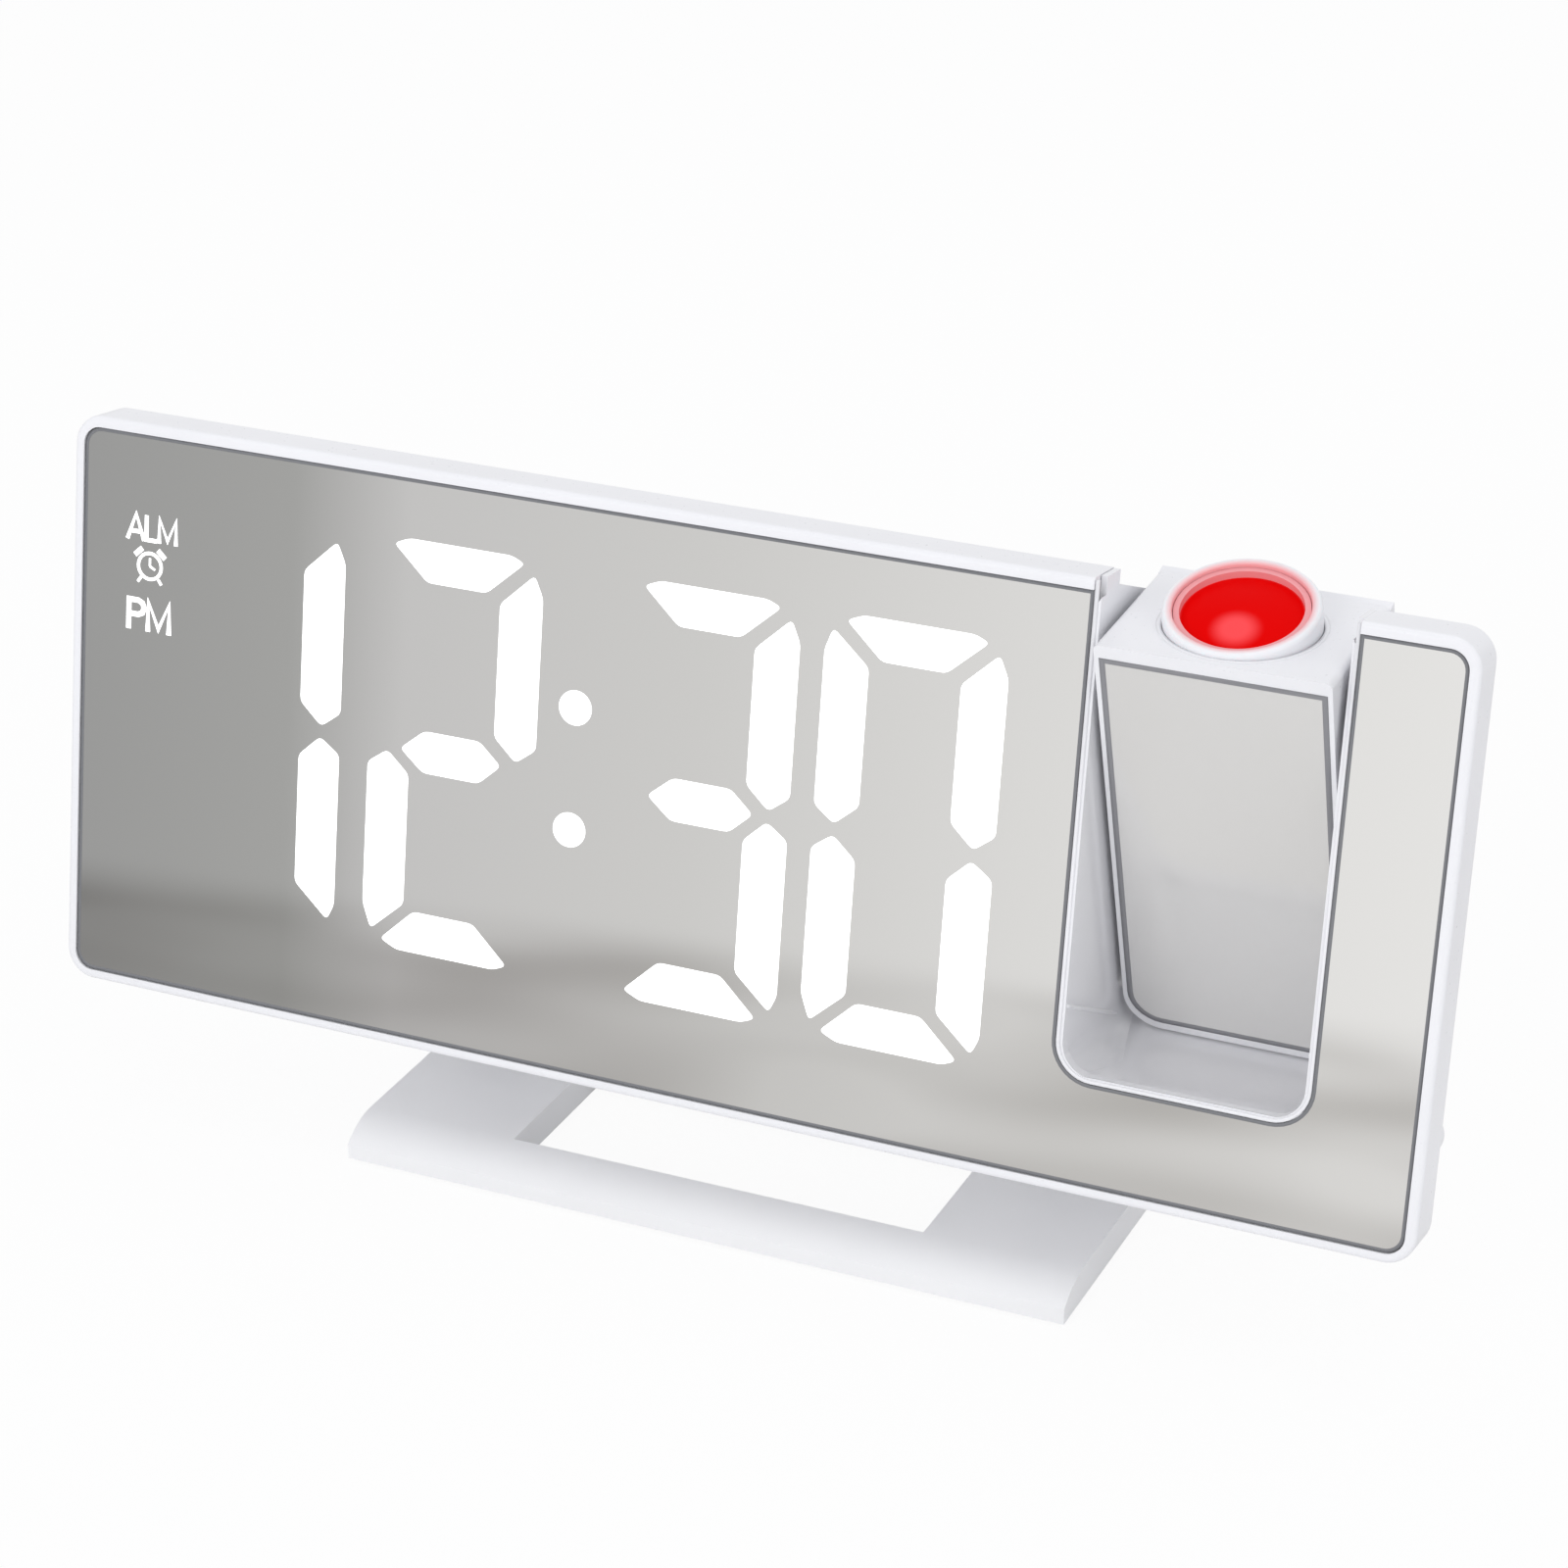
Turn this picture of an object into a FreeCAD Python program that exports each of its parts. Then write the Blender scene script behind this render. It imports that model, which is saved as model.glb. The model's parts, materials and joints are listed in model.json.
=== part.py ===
import FreeCAD, Part
import Sketcher
import math
import os
import re

# Projection alarm clock. Millimetres, +X to the right, +Y to the back, +Z up.
# The origin is on the table, under the middle of the stand's front foot strip.
# Clock body pieces are drawn in the face frame: X along the face, Y into the
# body from the mirror's surface, Z up the face from the mirror's bottom edge.
# Projector pieces are drawn about the projector's pivot, as when it is closed.

os.makedirs("parts", exist_ok=True)
doc = FreeCAD.newDocument("projection_alarm_clock")

SIZES = [
    # clock body
    ("lean_angle", 9.0), ("face_setback", 2.0), ("face_height", 20.0),
    ("body_width", 190.0), ("body_bottom", 1.4), ("body_top", 76.7), ("body_corner", 4.0),
    ("bezel_depth", 6.5), ("bezel_edge", 0.7), ("side_rim", 1.5), ("top_rim", 1.6),
    ("mirror_corner", 2.5), ("mirror_thick", 1.8), ("mirror_gap", 0.1), ("bezel_lip", 2.5),
    ("housing_inset", 2.0), ("housing_wall", 2.0), ("body_depth", 30.0), ("top_slope", 14.0),
    ("side_taper", 5.0), ("bottom_taper", 3.0), ("housing_edge", 2.0),
    # projector slot and its liner
    ("slot_from_side", 31.15), ("slot_width", 32.9), ("slot_floor", 13.3), ("slot_corner", 5.0),
    ("liner_wall", 0.8), ("mouth_rise", 0.65), ("liner_gap", 0.1), ("liner_floor", 5.0), ("swing_radius", 51.2),
    ("slot_web", 2.0),
    # projector block
    ("pivot_depth", 12.0), ("pivot_height", 63.9), ("tilt_angle", 25.4),
    ("block_width", 29.5), ("block_front", 12.0), ("block_back", 12.0), ("block_top", 12.0),
    ("block_bottom", 49.4), ("block_wall", 1.6), ("block_mirror_width", 27.5),
    ("block_mirror_top", 9.7), ("block_mirror_bottom", 47.9), ("block_mirror_thick", 1.2),
    ("block_mirror_corner", 4.0), ("block_back_thick", 1.6), ("pivot_radius", 3.0),
    ("pivot_gap", 0.06), ("block_edge", 0.8),
    # lens and light source
    ("ring_level", 12.2), ("ring_radius", 9.6), ("ring_bore", 8.3), ("ring_gap", 0.25),
    ("ring_sink", 6.0), ("ring_edge", 0.6), ("top_inside", 3.5), ("collar_radius", 9.4),
    ("collar_drop", 4.0), ("lens_radius", 7.5), ("lens_offset", -0.7), ("cell_gap", 0.08),
    ("cell_outer", 8.22), ("cell_length", 12.0), ("lens_thick", 3.0), ("lens_crown", 1.0),
    ("lens_drop", 0.6), ("film_drop", 16.0), ("film_thick", 1.6), ("condenser_thick", 4.0),
    ("condenser_radius", 7.0), ("source_gap", 2.0), ("chip_side", 3.5), ("chip_thick", 1.0),
    ("board_thick", 1.6),
    # display
    ("mask_thick", 4.0), ("mask_margin", 3.0), ("diffuser_depth", 2.6), ("diffuser_gap", 0.1),
    ("figure_height", 55.4), ("figure_width", 24.2), ("stroke_width", 5.9), ("stroke_gap", 1.4),
    ("figure_base", 11.9), ("first_figure_gap", 142.05), ("second_figure_gap", 113.55),
    ("third_figure_gap", 78.05), ("fourth_figure_gap", 50.55), ("dot_radius", 2.3),
    ("dot_gap", 84.05), ("upper_dot_height", 49.0), ("lower_dot_height", 32.8),
    ("led_side", 2.0), ("led_thick", 0.8),
    # boards and rear parts
    ("main_board_depth", 17.0), ("main_board_gap", 25.0), ("main_board_end", 33.85),
    ("main_board_bottom", 12.0), ("main_board_top", 60.0), ("header_width", 24.0),
    ("header_height", 3.0), ("button_radius", 4.0), ("button_gap", 0.3), ("button_rise", 1.2),
    ("button_travel", 0.6), ("button_row", 52.0), ("first_button_gap", 18), ("last_button_gap", 18),
    ("button_flange", 1.2), ("switch_side", 6.0), ("switch_height", 3.5), ("plunger_radius", 1.7),
    ("plunger_height", 1.5), ("speaker_radius", 14.0), ("speaker_depth", 4.0),
    ("speaker_from_side", 23.0), ("speaker_height", 34.0), ("magnet_radius", 8.0),
    ("magnet_depth", 4.0), ("grille_hole", 1.1), ("grille_pitch", 4.0),
    ("usb_width", 13.2), ("usb_height", 5.8), ("usb_depth", 10.0), ("usb_from_slot", 51.85),
    ("usb_wall", 0.4), ("tongue_thick", 1.8), ("power_width", 9.0), ("power_height", 4.0), ("power_wall", 0.6),
    ("power_from_slot", 23.85), ("socket_row", 20.0), ("socket_gap", 0.15),
    ("cell_radius", 10.0), ("backup_thick", 3.2), ("cell_from_slot", 93.85), ("cell_row", 24.0),
    ("cover_side", 28.0), ("cover_thick", 1.5), ("holder_wall", 1.2),
    # screws
    ("screw_radius", 1.3), ("screw_head_radius", 2.4), ("screw_head_thick", 1.6),
    ("screw_margin", 8.0), ("wing_screw_gap", 23.15), ("screw_fit", 0.05), ("boss_radius", 3.2), ("screw_sink", 0.8), ("screw_spread", 14.0), ("block_screw_length", 8.0),
    # stand
    ("stand_width", 102.5), ("stand_thick", 5.0), ("stand_front", 3.5), ("lip_height", 2.6),
    ("crown_run", 6.5), ("window_width", 59.0), ("window_front", 3.0), ("window_back", 28.0),
    ("strip_width", 3.0), ("strip_length", 80.0), ("strip_proud", 0.4),
    ("strip_sink", 0.6), ("hinge_depth", 35.5), ("hinge_height", 4.0), ("hinge_boss", 4.5),
    ("pin_radius", 2.0), ("pin_gap", 0.05), ("arm_width", 6.0), ("knuckle_width", 10.0),
    ("knuckle_clear", 0.3),
]
ALIASES = {name for name, size in SIZES}

# Places that follow from the sizes above
PLACES = {
    "mirror_width": "(body_width - 2 * side_rim)",
    "mirror_height": "(body_top - top_rim)",
    "slot_center": "(body_width / 2 - slot_from_side)",
    "first_figure_left": "(slot_center - first_figure_gap)",
    "second_figure_left": "(slot_center - second_figure_gap)",
    "third_figure_left": "(slot_center - third_figure_gap)",
    "fourth_figure_left": "(slot_center - fourth_figure_gap)",
    "dot_across": "(slot_center - dot_gap)",
    "main_board_left": "(-body_width / 2 + main_board_gap)",
    "main_board_right": "(slot_center - main_board_end)",
    "speaker_across": "(-body_width / 2 + speaker_from_side)",
    "power_across": "(slot_center - power_from_slot)",
    "usb_across": "(slot_center - usb_from_slot)",
    "cell_across": "(slot_center - cell_from_slot)",
    "first_button": "(main_board_left + first_button_gap)",
    "last_button": "(main_board_right - last_button_gap)",
}

sheet = doc.addObject("Spreadsheet::Sheet", "Sizes")
for row, (name, size) in enumerate(SIZES, start=1):
    sheet.set("A%d" % row, name)
    sheet.set("B%d" % row, str(size))
    sheet.setAlias("B%d" % row, name)
doc.recompute()
probe = doc.addObject("Part::Box", "probe")


def formula(text):
    """Turn the names in an expression into references to the sheet."""
    def replace(word):
        name = word.group(0)
        if name in PLACES:
            return formula(PLACES[name])
        return "Sizes." + name if name in ALIASES else name
    return re.sub(r"[a-z][a-z_]+", replace, str(text))


def value(text):
    """Number that an expression of size names stands for."""
    found = probe.evalExpression(formula(text))
    return float(getattr(found, "Value", found))


def bind(obj, **fields):
    """Bind fields of an object to expressions of size names."""
    for field, text in fields.items():
        obj.setExpression(field.replace("__", "."), formula(text))
    return obj


def box(name, x, y, z):
    """Block between pairs of expressions along each axis."""
    block = doc.addObject("Part::Box", name)
    bind(block, Length="(%s) - (%s)" % (x[1], x[0]), Width="(%s) - (%s)" % (y[1], y[0]),
         Height="(%s) - (%s)" % (z[1], z[0]))
    return bind(block, Placement__Base__x=x[0], Placement__Base__y=y[0], Placement__Base__z=z[0])


def rod(name, axis, start, radius, length):
    """Cylinder from a start point along +X, +Y or +Z."""
    turn = {"X": ("0;1;0", 90), "Y": ("1;0;0", -90), "Z": ("0;0;1", 0)}[axis]
    body = doc.addObject("Part::Cylinder", name)
    bind(body, Radius=radius, Height=length)
    return bind(body, Placement="placement(vector(%s; %s; %s); rotation(vector(%s); %d))"
                % (start[0], start[1], start[2], turn[0], turn[1]))


def fuse(name, *pieces):
    """One solid from several touching pieces."""
    joined = doc.addObject("Part::MultiFuse", name)
    joined.Shapes = list(pieces)
    joined.Refine = True
    return joined


def group(name, pieces):
    """Separate solids that share a node."""
    together = doc.addObject("Part::Compound", name)
    together.Links = list(pieces)
    return together


def cut(name, base, *tools):
    """Base with every tool taken away."""
    tool = tools[0] if len(tools) == 1 else group(name + "_tools", tools)
    left = doc.addObject("Part::Cut", name)
    left.Base = base
    left.Tool = tool
    return left


def common(name, first, second):
    """What two solids share."""
    shared = doc.addObject("Part::Common", name)
    shared.Base = first
    shared.Tool = second
    return shared


def rounded(name, base, radius, chooser):
    """Base with the chosen edges rounded."""
    doc.recompute()
    smooth = doc.addObject("Part::Fillet", name)
    smooth.Base = base
    size = value(radius)
    smooth.Edges = [(number, size, size) for number, edge in enumerate(base.Shape.Edges, start=1)
                    if chooser(edge)]
    return smooth


def origin_plane(body, role):
    """Origin plane of a body, found by its role."""
    return [item for item in body.Origin.OriginFeatures if item.Role == role][0]


def arc_between(first, last):
    """Arc that starts level at the first point and falls to the last."""
    run, fall = abs(first.x - last.x), abs(first.y - last.y)
    radius = (run ** 2 + fall ** 2) / (2 * fall)
    center = FreeCAD.Vector(first.x, first.y - radius, 0)
    circle = Part.Circle(center, FreeCAD.Vector(0, 0, 1), radius)
    return Part.ArcOfCircle(circle, math.pi / 2, math.atan2(last.y - center.y, last.x - center.x))


def outline(body, name, role, offset, points, arc=None):
    """Closed sketch through points that are pairs of expressions; one side may be an arc."""
    sketch = body.newObject("Sketcher::SketchObject", name)
    sketch.AttachmentSupport = [(origin_plane(body, role), "")]
    sketch.MapMode = "FlatFace"
    bind(sketch, AttachmentOffset__Base__z=offset)
    corners = [FreeCAD.Vector(value(across), value(up), 0) for across, up in points]
    for index, corner in enumerate(corners):
        following = corners[(index + 1) % len(corners)]
        side = arc_between(corner, following) if index == arc else Part.LineSegment(corner, following)
        sketch.addGeometry(side, False)
    for index, (across, up) in enumerate(points):
        following = (index + 1) % len(points)
        sketch.addConstraint(Sketcher.Constraint("Coincident", index, 2, following, 1))
        for kind, text in (("DistanceX", across), ("DistanceY", up)):
            size = value(text)
            number = sketch.addConstraint(Sketcher.Constraint(kind, -1, 1, index, 1, size))
            sketch.setExpression("Constraints[%d]" % number, formula(text))
    if arc is not None:
        fall = "(%s) - (%s)" % (points[arc][1], points[arc + 1][1])
        run = "(%s) - (%s)" % (points[arc][0], points[arc + 1][0])
        curve = "((%s) ^ 2 + (%s) ^ 2) / (2 * (%s))" % (run, fall, fall)
        number = sketch.addConstraint(Sketcher.Constraint("Radius", arc, value(curve)))
        sketch.setExpression("Constraints[%d]" % number, formula(curve))
    return sketch


def rectangle(x, z):
    """Four corners from two pairs of expressions."""
    return [(x[0], z[0]), (x[1], z[0]), (x[1], z[1]), (x[0], z[1])]


def plate(name, x, z, front, thick, corner=None, low_only=False):
    """Sketched plate parallel to the face, with all or only its low corners rounded."""
    body = doc.addObject("PartDesign::Body", name)
    sketch = outline(body, name + "_outline", "XZ_Plane", "-(%s)" % front, rectangle(x, z))
    pad = body.newObject("PartDesign::Pad", name + "_pad")
    pad.Profile = sketch
    pad.Reversed = True
    bind(pad, Length=thick)
    doc.recompute()
    if corner:
        round_corners(body, pad, corner, low_only)
    return body


def round_corners(body, pad, radius, low_only):
    """Round a pad's edges that run front to back, all of them or the low ones."""
    middle = pad.Shape.BoundBox.Center.z
    edges = ["Edge%d" % number for number, edge in enumerate(pad.Shape.Edges, start=1)
             if is_along(edge, "Y") and not (low_only and edge.BoundBox.ZMax > middle)]
    smooth = body.newObject("PartDesign::Fillet", body.Name + "_corners")
    smooth.Base = (pad, edges)
    bind(smooth, Radius=radius)
    doc.recompute()


def is_along(edge, axis):
    """Whether an edge is straight and runs along an axis."""
    span = edge.BoundBox
    lengths = {"X": span.XLength, "Y": span.YLength, "Z": span.ZLength}
    rest = sum(lengths.values()) - lengths[axis]
    return rest < 1e-4 < lengths[axis]


NODES = []
FACE_FRAME = "placement(vector(0; -face_setback; face_height); rotation(vector(1; 0; 0); -lean_angle))"
BLOCK_FRAME = ("placement(vector(slot_center; "
               "-face_setback + pivot_depth * cos(lean_angle) + pivot_height * sin(lean_angle); "
               "face_height - pivot_depth * sin(lean_angle) + pivot_height * cos(lean_angle)); "
               "rotation(vector(1; 0; 0); tilt_angle - lean_angle))")


def node(name, solid, frame=None):
    """Finish a sub-part: its label, and its place on the clock."""
    if solid.TypeId in ("Part::Box", "Part::Cylinder"):
        solid = group(name + "_piece", [solid])
    solid.Label = name
    if frame:
        bind(solid, Placement=frame)
    NODES.append((name, solid))
    return solid


def sloped_block(name, grow, front, depth):
    """Rear shell's outline: its top, sides and bottom draw in towards the back."""
    wedge = doc.addObject("Part::Wedge", name)
    run = "(%s)" % depth
    half = "(body_width / 2 - housing_inset + (%s))" % grow
    low = "(-body_bottom + housing_inset - (%s))" % grow
    top = "(body_top - housing_inset + (%s))" % grow
    return bind(wedge, Xmin="-" + half, Xmax=half, Ymin=front, Ymax="%s + %s" % (front, run),
                Zmin=low, Zmax=top, X2min="-%s + side_taper" % half, X2max="%s - side_taper" % half,
                Z2min="%s + bottom_taper" % low, Z2max="%s - %s * tan(top_slope)" % (top, run))


# Stand
def make_stand():
    """Plate with a window, and two arms that carry the hinge behind the body."""
    hinge_y = "(-face_setback + hinge_depth * cos(lean_angle) + hinge_height * sin(lean_angle))"
    hinge_z = "(face_height - hinge_depth * sin(lean_angle) + hinge_height * cos(lean_angle))"
    back = "(%s + hinge_boss)" % hinge_y
    half = "stand_width / 2"
    body = doc.addObject("PartDesign::Body", "stand_plate")
    points = [("-stand_front", "strip_proud"), (back, "strip_proud"), (back, "stand_thick"),
              ("-stand_front + crown_run", "stand_thick"), ("-stand_front", "lip_height")]
    sketch = outline(body, "stand_profile", "YZ_Plane", "-%s" % half, points, arc=3)
    pad = body.newObject("PartDesign::Pad", "stand_pad")
    pad.Profile = sketch
    bind(pad, Length="stand_width")
    doc.recompute()
    window = box("stand_window", ("-window_width / 2", "window_width / 2"),
                 ("window_front", "window_back"), ("-1", "stand_thick + 1"))
    pieces = [body]
    for side in (-1, 1):
        outer = "%d * stand_width / 2" % side
        inner = "%d * (stand_width / 2 - arm_width)" % side
        low, high = (outer, inner) if side < 0 else (inner, outer)
        pieces.append(box("stand_arm", (low, high),
                          ("%s - hinge_boss" % hinge_y, "%s + hinge_boss" % hinge_y),
                          ("stand_thick / 2", hinge_z)))
        pieces.append(rod("stand_boss", "X", (low, hinge_y, hinge_z), "hinge_boss", "arm_width"))
    solid = fuse("stand_blank", *pieces)
    strips, grooves, holes, pins = [], [], [], []
    for center in ("0", "(window_back + %s) / 2" % back):
        across = ("-strip_length / 2", "strip_length / 2")
        along = ("%s - strip_width / 2" % center, "%s + strip_width / 2" % center)
        strips.append(box("strip", across, along, ("0", "strip_proud + strip_sink")))
        grooves.append(box("groove", across, along, ("-1", "strip_proud + strip_sink")))
    for side in (-1, 1):
        start = "%d * stand_width / 2 - (%d) * (arm_width + knuckle_width + knuckle_clear)" % (side, side)
        start = start if side > 0 else "-stand_width / 2"
        length = "arm_width + knuckle_width + knuckle_clear"
        holes.append(rod("pin_hole", "X", (start, hinge_y, hinge_z), "pin_radius", length))
        pins.append(rod("pin", "X", (start, hinge_y, hinge_z), "pin_radius", length))
    bracket = cut("stand_cut", solid, window, *(grooves + holes))
    node("stand_bracket", bracket)
    node("stand_foot_strips", group("strips", strips))
    node("stand_hinge_pins", group("pins", pins))


SLOT_LEFT = "(slot_center - slot_width / 2)"
SLOT_RIGHT = "(slot_center + slot_width / 2)"
SLOT_BASE = "(slot_floor - liner_floor)"
LINER_BASE = SLOT_BASE + " + liner_gap"


SCREW_PLACES = [("-body_width / 2 + screw_margin + side_taper", "screw_margin + 2"),
                ("-body_width / 2 + screw_margin + side_taper", "body_top - screw_margin - 8"),
                ("slot_center + wing_screw_gap", "screw_margin - 3"),
                ("slot_center - slot_width / 2 - screw_margin", "screw_margin + 2"),
                ("slot_center - slot_width / 2 - screw_margin", "body_top - screw_margin - 8")]
DISPLAY_SCREWS = SCREW_PLACES[:2] + SCREW_PLACES[3:]
DISPLAY_BACK = "(mirror_thick + 0.2 + mask_thick + board_thick)"


def screw_ways(places, front):
    """Round ways for screws, from a depth back through whatever they pass."""
    return [rod("screw_way", "Y", (across, front, up), "screw_radius", "20") for across, up in places]


def slot_cutter(name, front, back):
    """Upright slot open at the top, through anything between two depths."""
    return box(name, (SLOT_LEFT, SLOT_RIGHT), (front, back),
               (SLOT_BASE, "body_top + 5"))


# Front of the clock
def make_front():
    """Bezel and mirror panel, both notched for the projector slot."""
    outer = plate("bezel_blank", ("-body_width / 2", "body_width / 2"), ("-body_bottom", "body_top"),
                  "-0.3", "bezel_depth + 0.3", "body_corner")
    pocket = plate("mirror_pocket", ("-mirror_width / 2 - mirror_gap", "mirror_width / 2 + mirror_gap"),
                   ("-mirror_gap", "mirror_height + mirror_gap"), "-1", "mirror_thick + 1",
                   "mirror_corner")
    window = box("display_window", ("-mirror_width / 2 + bezel_lip", SLOT_LEFT + " - slot_web"),
                 ("-1", "bezel_depth + 1"), ("bezel_lip", "mirror_height - bezel_lip"))
    soft = rounded("bezel_soft", outer, "bezel_edge",
                   lambda edge: edge.BoundBox.YMax < 0 and edge.BoundBox.YLength < 1e-4)
    bezel = cut("bezel_cut", soft, pocket, window, slot_cutter("bezel_slot", "-2", "bezel_depth + 1"))
    node("front_bezel", cut("bezel_drilled", bezel, *screw_ways(SCREW_PLACES[2:3], "bezel_depth - 4")),
         FACE_FRAME)

    glass = plate("mirror_blank", ("-mirror_width / 2", "mirror_width / 2"), ("0", "mirror_height"),
                  "0", "mirror_thick", "mirror_corner")
    notch = plate("mirror_notch", (SLOT_LEFT, SLOT_RIGHT), ("slot_floor", "body_top + 20"),
                  "-1", "mirror_thick + 2", "slot_corner")
    node("mirror_panel", cut("mirror_cut", glass, notch), FACE_FRAME)


def strokes(left):
    """Names and corner points of the seven strokes of one figure."""
    right = "(%s + figure_width)" % left
    mid = "(figure_base + figure_height / 2)"
    low, top = "figure_base", "(figure_base + figure_height)"
    width, gap, half = "stroke_width", "stroke_gap / 2", "stroke_width / 2"
    level = {
        "top": [("%s + %s" % (left, gap), top), ("%s - %s" % (right, gap), top),
                ("%s - %s - %s" % (right, width, gap), "%s - %s" % (top, width)),
                ("%s + %s + %s" % (left, width, gap), "%s - %s" % (top, width))],
        "bottom": [("%s + %s" % (left, gap), low), ("%s - %s" % (right, gap), low),
                   ("%s - %s - %s" % (right, width, gap), "%s + %s" % (low, width)),
                   ("%s + %s + %s" % (left, width, gap), "%s + %s" % (low, width))],
        "middle": [("%s + %s + %s" % (left, half, gap), mid),
                   ("%s + %s" % (left, width), "%s + %s" % (mid, half)),
                   ("%s - %s" % (right, width), "%s + %s" % (mid, half)),
                   ("%s - %s - %s" % (right, half, gap), mid),
                   ("%s - %s" % (right, width), "%s - %s" % (mid, half)),
                   ("%s + %s" % (left, width), "%s - %s" % (mid, half))]}
    for side, edge, sign in (("left", left, "+"), ("right", right, "-")):
        inner = "%s %s %s" % (edge, sign, width)
        level["upper_" + side] = [(edge, "%s - %s" % (top, gap)), (inner, "%s - %s - %s" % (top, width, gap)),
                                  (inner, "%s + %s + %s" % (mid, half, gap)),
                                  ("%s %s %s" % (edge, sign, half), "%s + %s" % (mid, gap)),
                                  (edge, "%s + %s + %s" % (mid, half, gap))]
        level["lower_" + side] = [(edge, "%s + %s" % (low, gap)), (inner, "%s + %s + %s" % (low, width, gap)),
                                  (inner, "%s - %s - %s" % (mid, half, gap)),
                                  ("%s %s %s" % (edge, sign, half), "%s - %s" % (mid, gap)),
                                  (edge, "%s - %s - %s" % (mid, half, gap))]
    return level


def prism(points, front, depth, shrink):
    """Upright-faced block over an outline, drawn in all round by a clearance."""
    corners = [FreeCAD.Vector(value(across), value(front), value(up)) for across, up in points]
    wire = Part.makePolygon(corners + corners[:1])
    if shrink:
        wire = wire.makeOffset2D(-shrink, join=2)
    return Part.Face(wire).extrude(FreeCAD.Vector(0, value(depth), 0))


def shape_node(name, shape, frame):
    """Sub-part whose shape is worked out from the sizes."""
    holder = doc.addObject("Part::Feature", name + "_shape")
    holder.Shape = shape
    return node(name, holder, frame)


# Display
def make_display():
    """Mask with a window for each stroke, the diffusers in it, and the lit board."""
    front = "mirror_thick + 0.2"
    left, right = "-mirror_width / 2 + mask_margin", SLOT_LEFT + " - slot_web - 0.5"
    low, top = "mask_margin", "mirror_height - mask_margin"
    lights, windows, chips = [], [], []
    chip_front = "mirror_thick + 0.2 + mask_thick - led_thick"
    figures = ["second_figure_left", "third_figure_left", "fourth_figure_left"]
    drawn = [strokes("first_figure_left")[name] for name in ("upper_right", "lower_right")]
    drawn += [points for start in figures for points in strokes(start).values()]
    for points in drawn:
        lights.append(prism(points, front, "diffuser_depth", value("diffuser_gap")))
        windows.append(prism(points, front, "mask_thick", 0))
        spot = lights[-1].CenterOfMass
        side = value("led_side")
        chips.append(Part.makeBox(side, value("led_thick"), side,
                     FreeCAD.Vector(spot.x - side / 2, value(chip_front), spot.z - side / 2)))
    for height in ("upper_dot_height", "lower_dot_height"):
        at = FreeCAD.Vector(value("dot_across"), value(front), value(height))
        into = FreeCAD.Vector(0, 1, 0)
        radius = value("dot_radius")
        lights.append(Part.makeCylinder(radius - value("diffuser_gap"), value("diffuser_depth"), at, into))
        windows.append(Part.makeCylinder(radius, value("mask_thick"), at, into))
        side = value("led_side")
        chips.append(Part.makeBox(side, value("led_thick"), side,
                     FreeCAD.Vector(at.x - side / 2, value(chip_front), at.z - side / 2)))
    blank = box("mask_blank", (left, right), (front, front + " + mask_thick"), (low, top))
    doc.recompute()
    ways = screw_ways(DISPLAY_SCREWS, "bezel_depth - 4")
    doc.recompute()
    windows += [way.Shape for way in ways]
    shape_node("light_mask", blank.Shape.cut(Part.Compound(windows)), FACE_FRAME)
    shape_node("segment_diffusers", Part.Compound(lights), FACE_FRAME)
    shape_node("segment_leds", Part.Compound(chips), FACE_FRAME)
    board_front = front + " + mask_thick"
    board = box("display_board_blank", (left, right), (board_front, DISPLAY_BACK), (low, top))
    node("display_board", cut("display_board_drilled", board, *screw_ways(DISPLAY_SCREWS, "0")), FACE_FRAME)
    header = box("header", ("-header_width / 2", "header_width / 2"),
                 (DISPLAY_BACK, "main_board_depth"),
                 ("main_board_bottom + 2", "main_board_bottom + 2 + header_height"))
    node("board_header", header, FACE_FRAME)


INNER_BACK = "(body_depth - housing_wall)"
BUTTONS = ["set_button", "alarm_button", "up_button", "down_button", "projector_button"]


def button_across(index):
    """Place of a button along the row."""
    return "(first_button + %d / 4 * (last_button - first_button))" % index


BOARD_SCREWS = [("main_board_left + 4", "main_board_bottom + 4"), ("main_board_right - 4", "main_board_bottom + 4"),
                ("main_board_left + 4", "main_board_top - 4"), ("main_board_right - 4", "main_board_top - 4")]


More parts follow.
